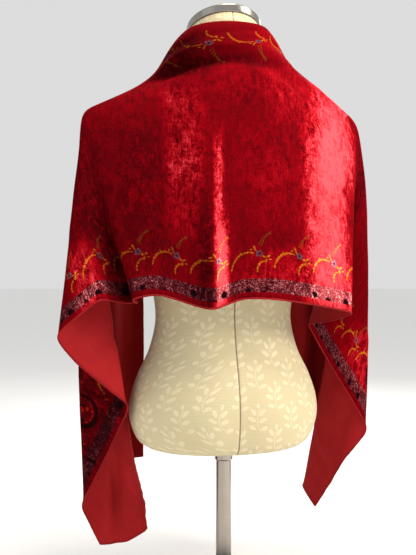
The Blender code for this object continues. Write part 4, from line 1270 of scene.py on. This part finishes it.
def polished_steel():
    """Polished stainless steel, spun: dark reflections, rings 1 mm apart where the real ones are finer."""
    made, tree, shader = start_material("polished stainless steel, spun", Metallic=1.0)
    place = add(tree, "ShaderNodeTexCoord", output="Object")
    split = add(tree, "ShaderNodeSeparateXYZ", {0: place})
    rings = add(tree, MATH, {0: split.node.outputs[2], 1: 2 * math.pi / RING_PITCH}, operation="MULTIPLY")
    rings = add(tree, MATH, {0: rings}, operation="SINE")
    smears = add(tree, NOISE, {"Vector": place, "Scale": 28.0, "Detail": 3.0})
    colour = add(tree, MIX, {"Factor": smears, "A": linear("#85817c"), "B": linear("#a8a29a")}, **BLEND)
    tree.links.new(colour, shader.inputs["Base Color"])
    rough = add(tree, RANGE, {
        "Value": smears, "From Min": 0.3, "From Max": 0.7, "To Min": 0.14, "To Max": 0.3})
    tree.links.new(rough, shader.inputs["Roughness"])
    bump = add(tree, "ShaderNodeBump", {"Height": rings, "Strength": 0.06, "Distance": 0.0001})
    tree.links.new(bump, shader.inputs["Normal"])
    return made


def black_enamel():
    """Sprayed enamel on cast iron: satin black, faint orange peel about 2 mm across, dust on top."""
    made, tree, shader = start_material(
        "sprayed enamel on cast iron", Coat_Weight=0.25, Coat_Roughness=0.2, Specular_IOR_Level=0.5)
    place = add(tree, "ShaderNodeTexCoord", output="Object")
    peel = add(tree, NOISE, {"Vector": place, "Scale": 500.0, "Detail": 1.0})
    dust = add(tree, NOISE, {"Vector": place, "Scale": 60.0, "Detail": 5.0})
    colour = add(tree, MIX, {"Factor": dust, "A": linear("#141414"), "B": linear("#222223")}, **BLEND)
    tree.links.new(colour, shader.inputs["Base Color"])
    rough = add(tree, RANGE, {
        "Value": dust, "From Min": 0.35, "From Max": 0.7, "To Min": 0.32, "To Max": 0.5})
    tree.links.new(rough, shader.inputs["Roughness"])
    bump = add(tree, "ShaderNodeBump", {"Height": peel, "Strength": 0.15, "Distance": 0.0002})
    tree.links.new(bump, shader.inputs["Normal"])
    return made


STEEL = polished_steel()
cap.data.materials.append(STEEL)
pole.data.materials.append(STEEL)
base.data.materials.append(black_enamel())
print(STEEL.name, "on", cap.name, "and", pole.name)

# %% [markdown]
# ## What each piece stands for
# Every new piece rides on the model's one body and replaces the solid that it is the finished form of.

# %% Ride and replace
for piece, nodes, slot in (
        (panel, ("scarf_left_end", "scarf_back", "scarf_right_end"), "velvet"),
        (form, ("form_body",), "form_cover"),
        (cap, ("neck_cap",), "steel"),
        (pole, ("pole",), "steel"),
        (base, ("base_plate",), "enamel")):
    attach(piece, "root")
    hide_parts(*nodes)
for piece in (hem, stitches):
    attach(piece, "root")
print("declared one sheet of", SCARF_WIDTH * CM, "by", round((LEFT_REACH + RIGHT_REACH) * CM, 3), "m")

# %% [markdown]
# ## The studio
# The object stands on a plain pale floor. A large soft lamp from the right of the camera gives the bright
# side that velvet shows so well, together with the light painted into the velvet's colour, and one above
# lights the shoulders. A weak one from the left opens the shadows, one beyond the form lights its front, and
# the pale world does the rest.

# %% Floor, lamps and world
FLOOR_RADIUS = 4000.0
FLOOR_SIDES = 64
FLOOR_DROP = 0.4 * MM
WORLD_STRENGTH = 0.72
CAMERA_TURN = -13.0
CAMERA_DISTANCE = 1.5
CAMERA_ASIDE = -0.02635
CAMERA_HEIGHT = 0.53
LENS = 57.24

turn = math.radians(CAMERA_TURN)
BEHIND = np.array([math.sin(turn), -math.cos(turn), 0.0])
ASIDE = np.array([math.cos(turn), math.sin(turn), 0.0])
UP = np.array([0.0, 0.0, 1.0])
AIM = 0.6 * UP
LAMPS = [
    # name, metres aside, behind and up, size in metres, power in watts, colour
    ("key_lamp", 1.9, 0.7, 1.5, 0.8, 39.0, "#fff0e0"),
    ("top_lamp", 0.2, 0.45, 2.3, 0.7, 34.0, "#fff2e2"),
    ("fill_lamp", -1.8, 1.6, 1.2, 1.6, 3.0, "#f2f5ff"),
    ("front_lamp", 0.6, -2.2, 1.9, 1.6, 22.0, "#ffffff"),
]


def build_floor():
    """A disc with FLOOR_SIDES corners, FLOOR_DROP below height 0 so that the base stands clear of it."""
    angle = np.linspace(0, 2 * np.pi, FLOOR_SIDES, endpoint=False)
    x, y = FLOOR_RADIUS * np.cos(angle), FLOOR_RADIUS * np.sin(angle)
    made = make_mesh("studio_floor", np.stack([x, y, np.full(FLOOR_SIDES, -FLOOR_DROP)], -1),
                     np.arange(FLOOR_SIDES)[None])
    paper, tree, shader = start_material("matt background paper", Roughness=0.9, Specular_IOR_Level=0.1)
    place = add(tree, "ShaderNodeTexCoord", output="Object")
    grain = add(tree, NOISE, {"Vector": place, "Scale": 3.0, "Detail": 2.0})
    colour = add(tree, MIX, {"Factor": grain, "A": linear("#f4f4f3"), "B": linear("#f7f7f6")}, **BLEND)
    tree.links.new(colour, shader.inputs["Base Color"])
    made.data.materials.append(paper)
    return made


def look_at(place, aim):
    """Angles that turn -Z to the aim and keep Y up: a tilt from straight down, then a turn about Z."""
    d = unit(aim - place)
    return (math.acos(-d[2]), 0.0, math.atan2(-d[0], d[1]))


def add_lamp(name, place, size, power, colour):
    """A square area lamp at place, turned so that its -Z axis points at AIM."""
    lamp = bpy.data.lights.new(name, "AREA")
    lamp.size = size
    lamp.energy = power
    lamp.color = linear(colour)[:3]
    made = bpy.data.objects.new(name, lamp)
    made.location = place
    made.rotation_euler = look_at(place, AIM)
    bpy.context.scene.collection.objects.link(made)


build_floor()
for name, aside, behind, up, size, power, colour in LAMPS:
    add_lamp(name, aside * ASIDE + behind * BEHIND + up * UP, size, power, colour)

world = bpy.data.worlds.new("pale studio")
world.use_nodes = True
world.node_tree.nodes["Background"].inputs["Color"].default_value = linear("#ffffff")
world.node_tree.nodes["Background"].inputs["Strength"].default_value = WORLD_STRENGTH
bpy.context.scene.world = world

# %% [markdown]
# The camera stands level with the waist, a metre and a half behind the form and a little to its left.

# %% Camera and the end
camera = bpy.data.cameras.new("camera")
camera.lens = LENS
camera.sensor_width = 36.0
eye = bpy.data.objects.new("camera", camera)
eye.location = CAMERA_DISTANCE * BEHIND + CAMERA_ASIDE * ASIDE + CAMERA_HEIGHT * UP
eye.rotation_euler = (math.radians(90), 0.0, turn)
bpy.context.scene.collection.objects.link(eye)
bpy.context.scene.camera = eye
bpy.context.scene.view_settings.view_transform = "Standard"
print("camera at", [round(float(c), 3) for c in eye.location])
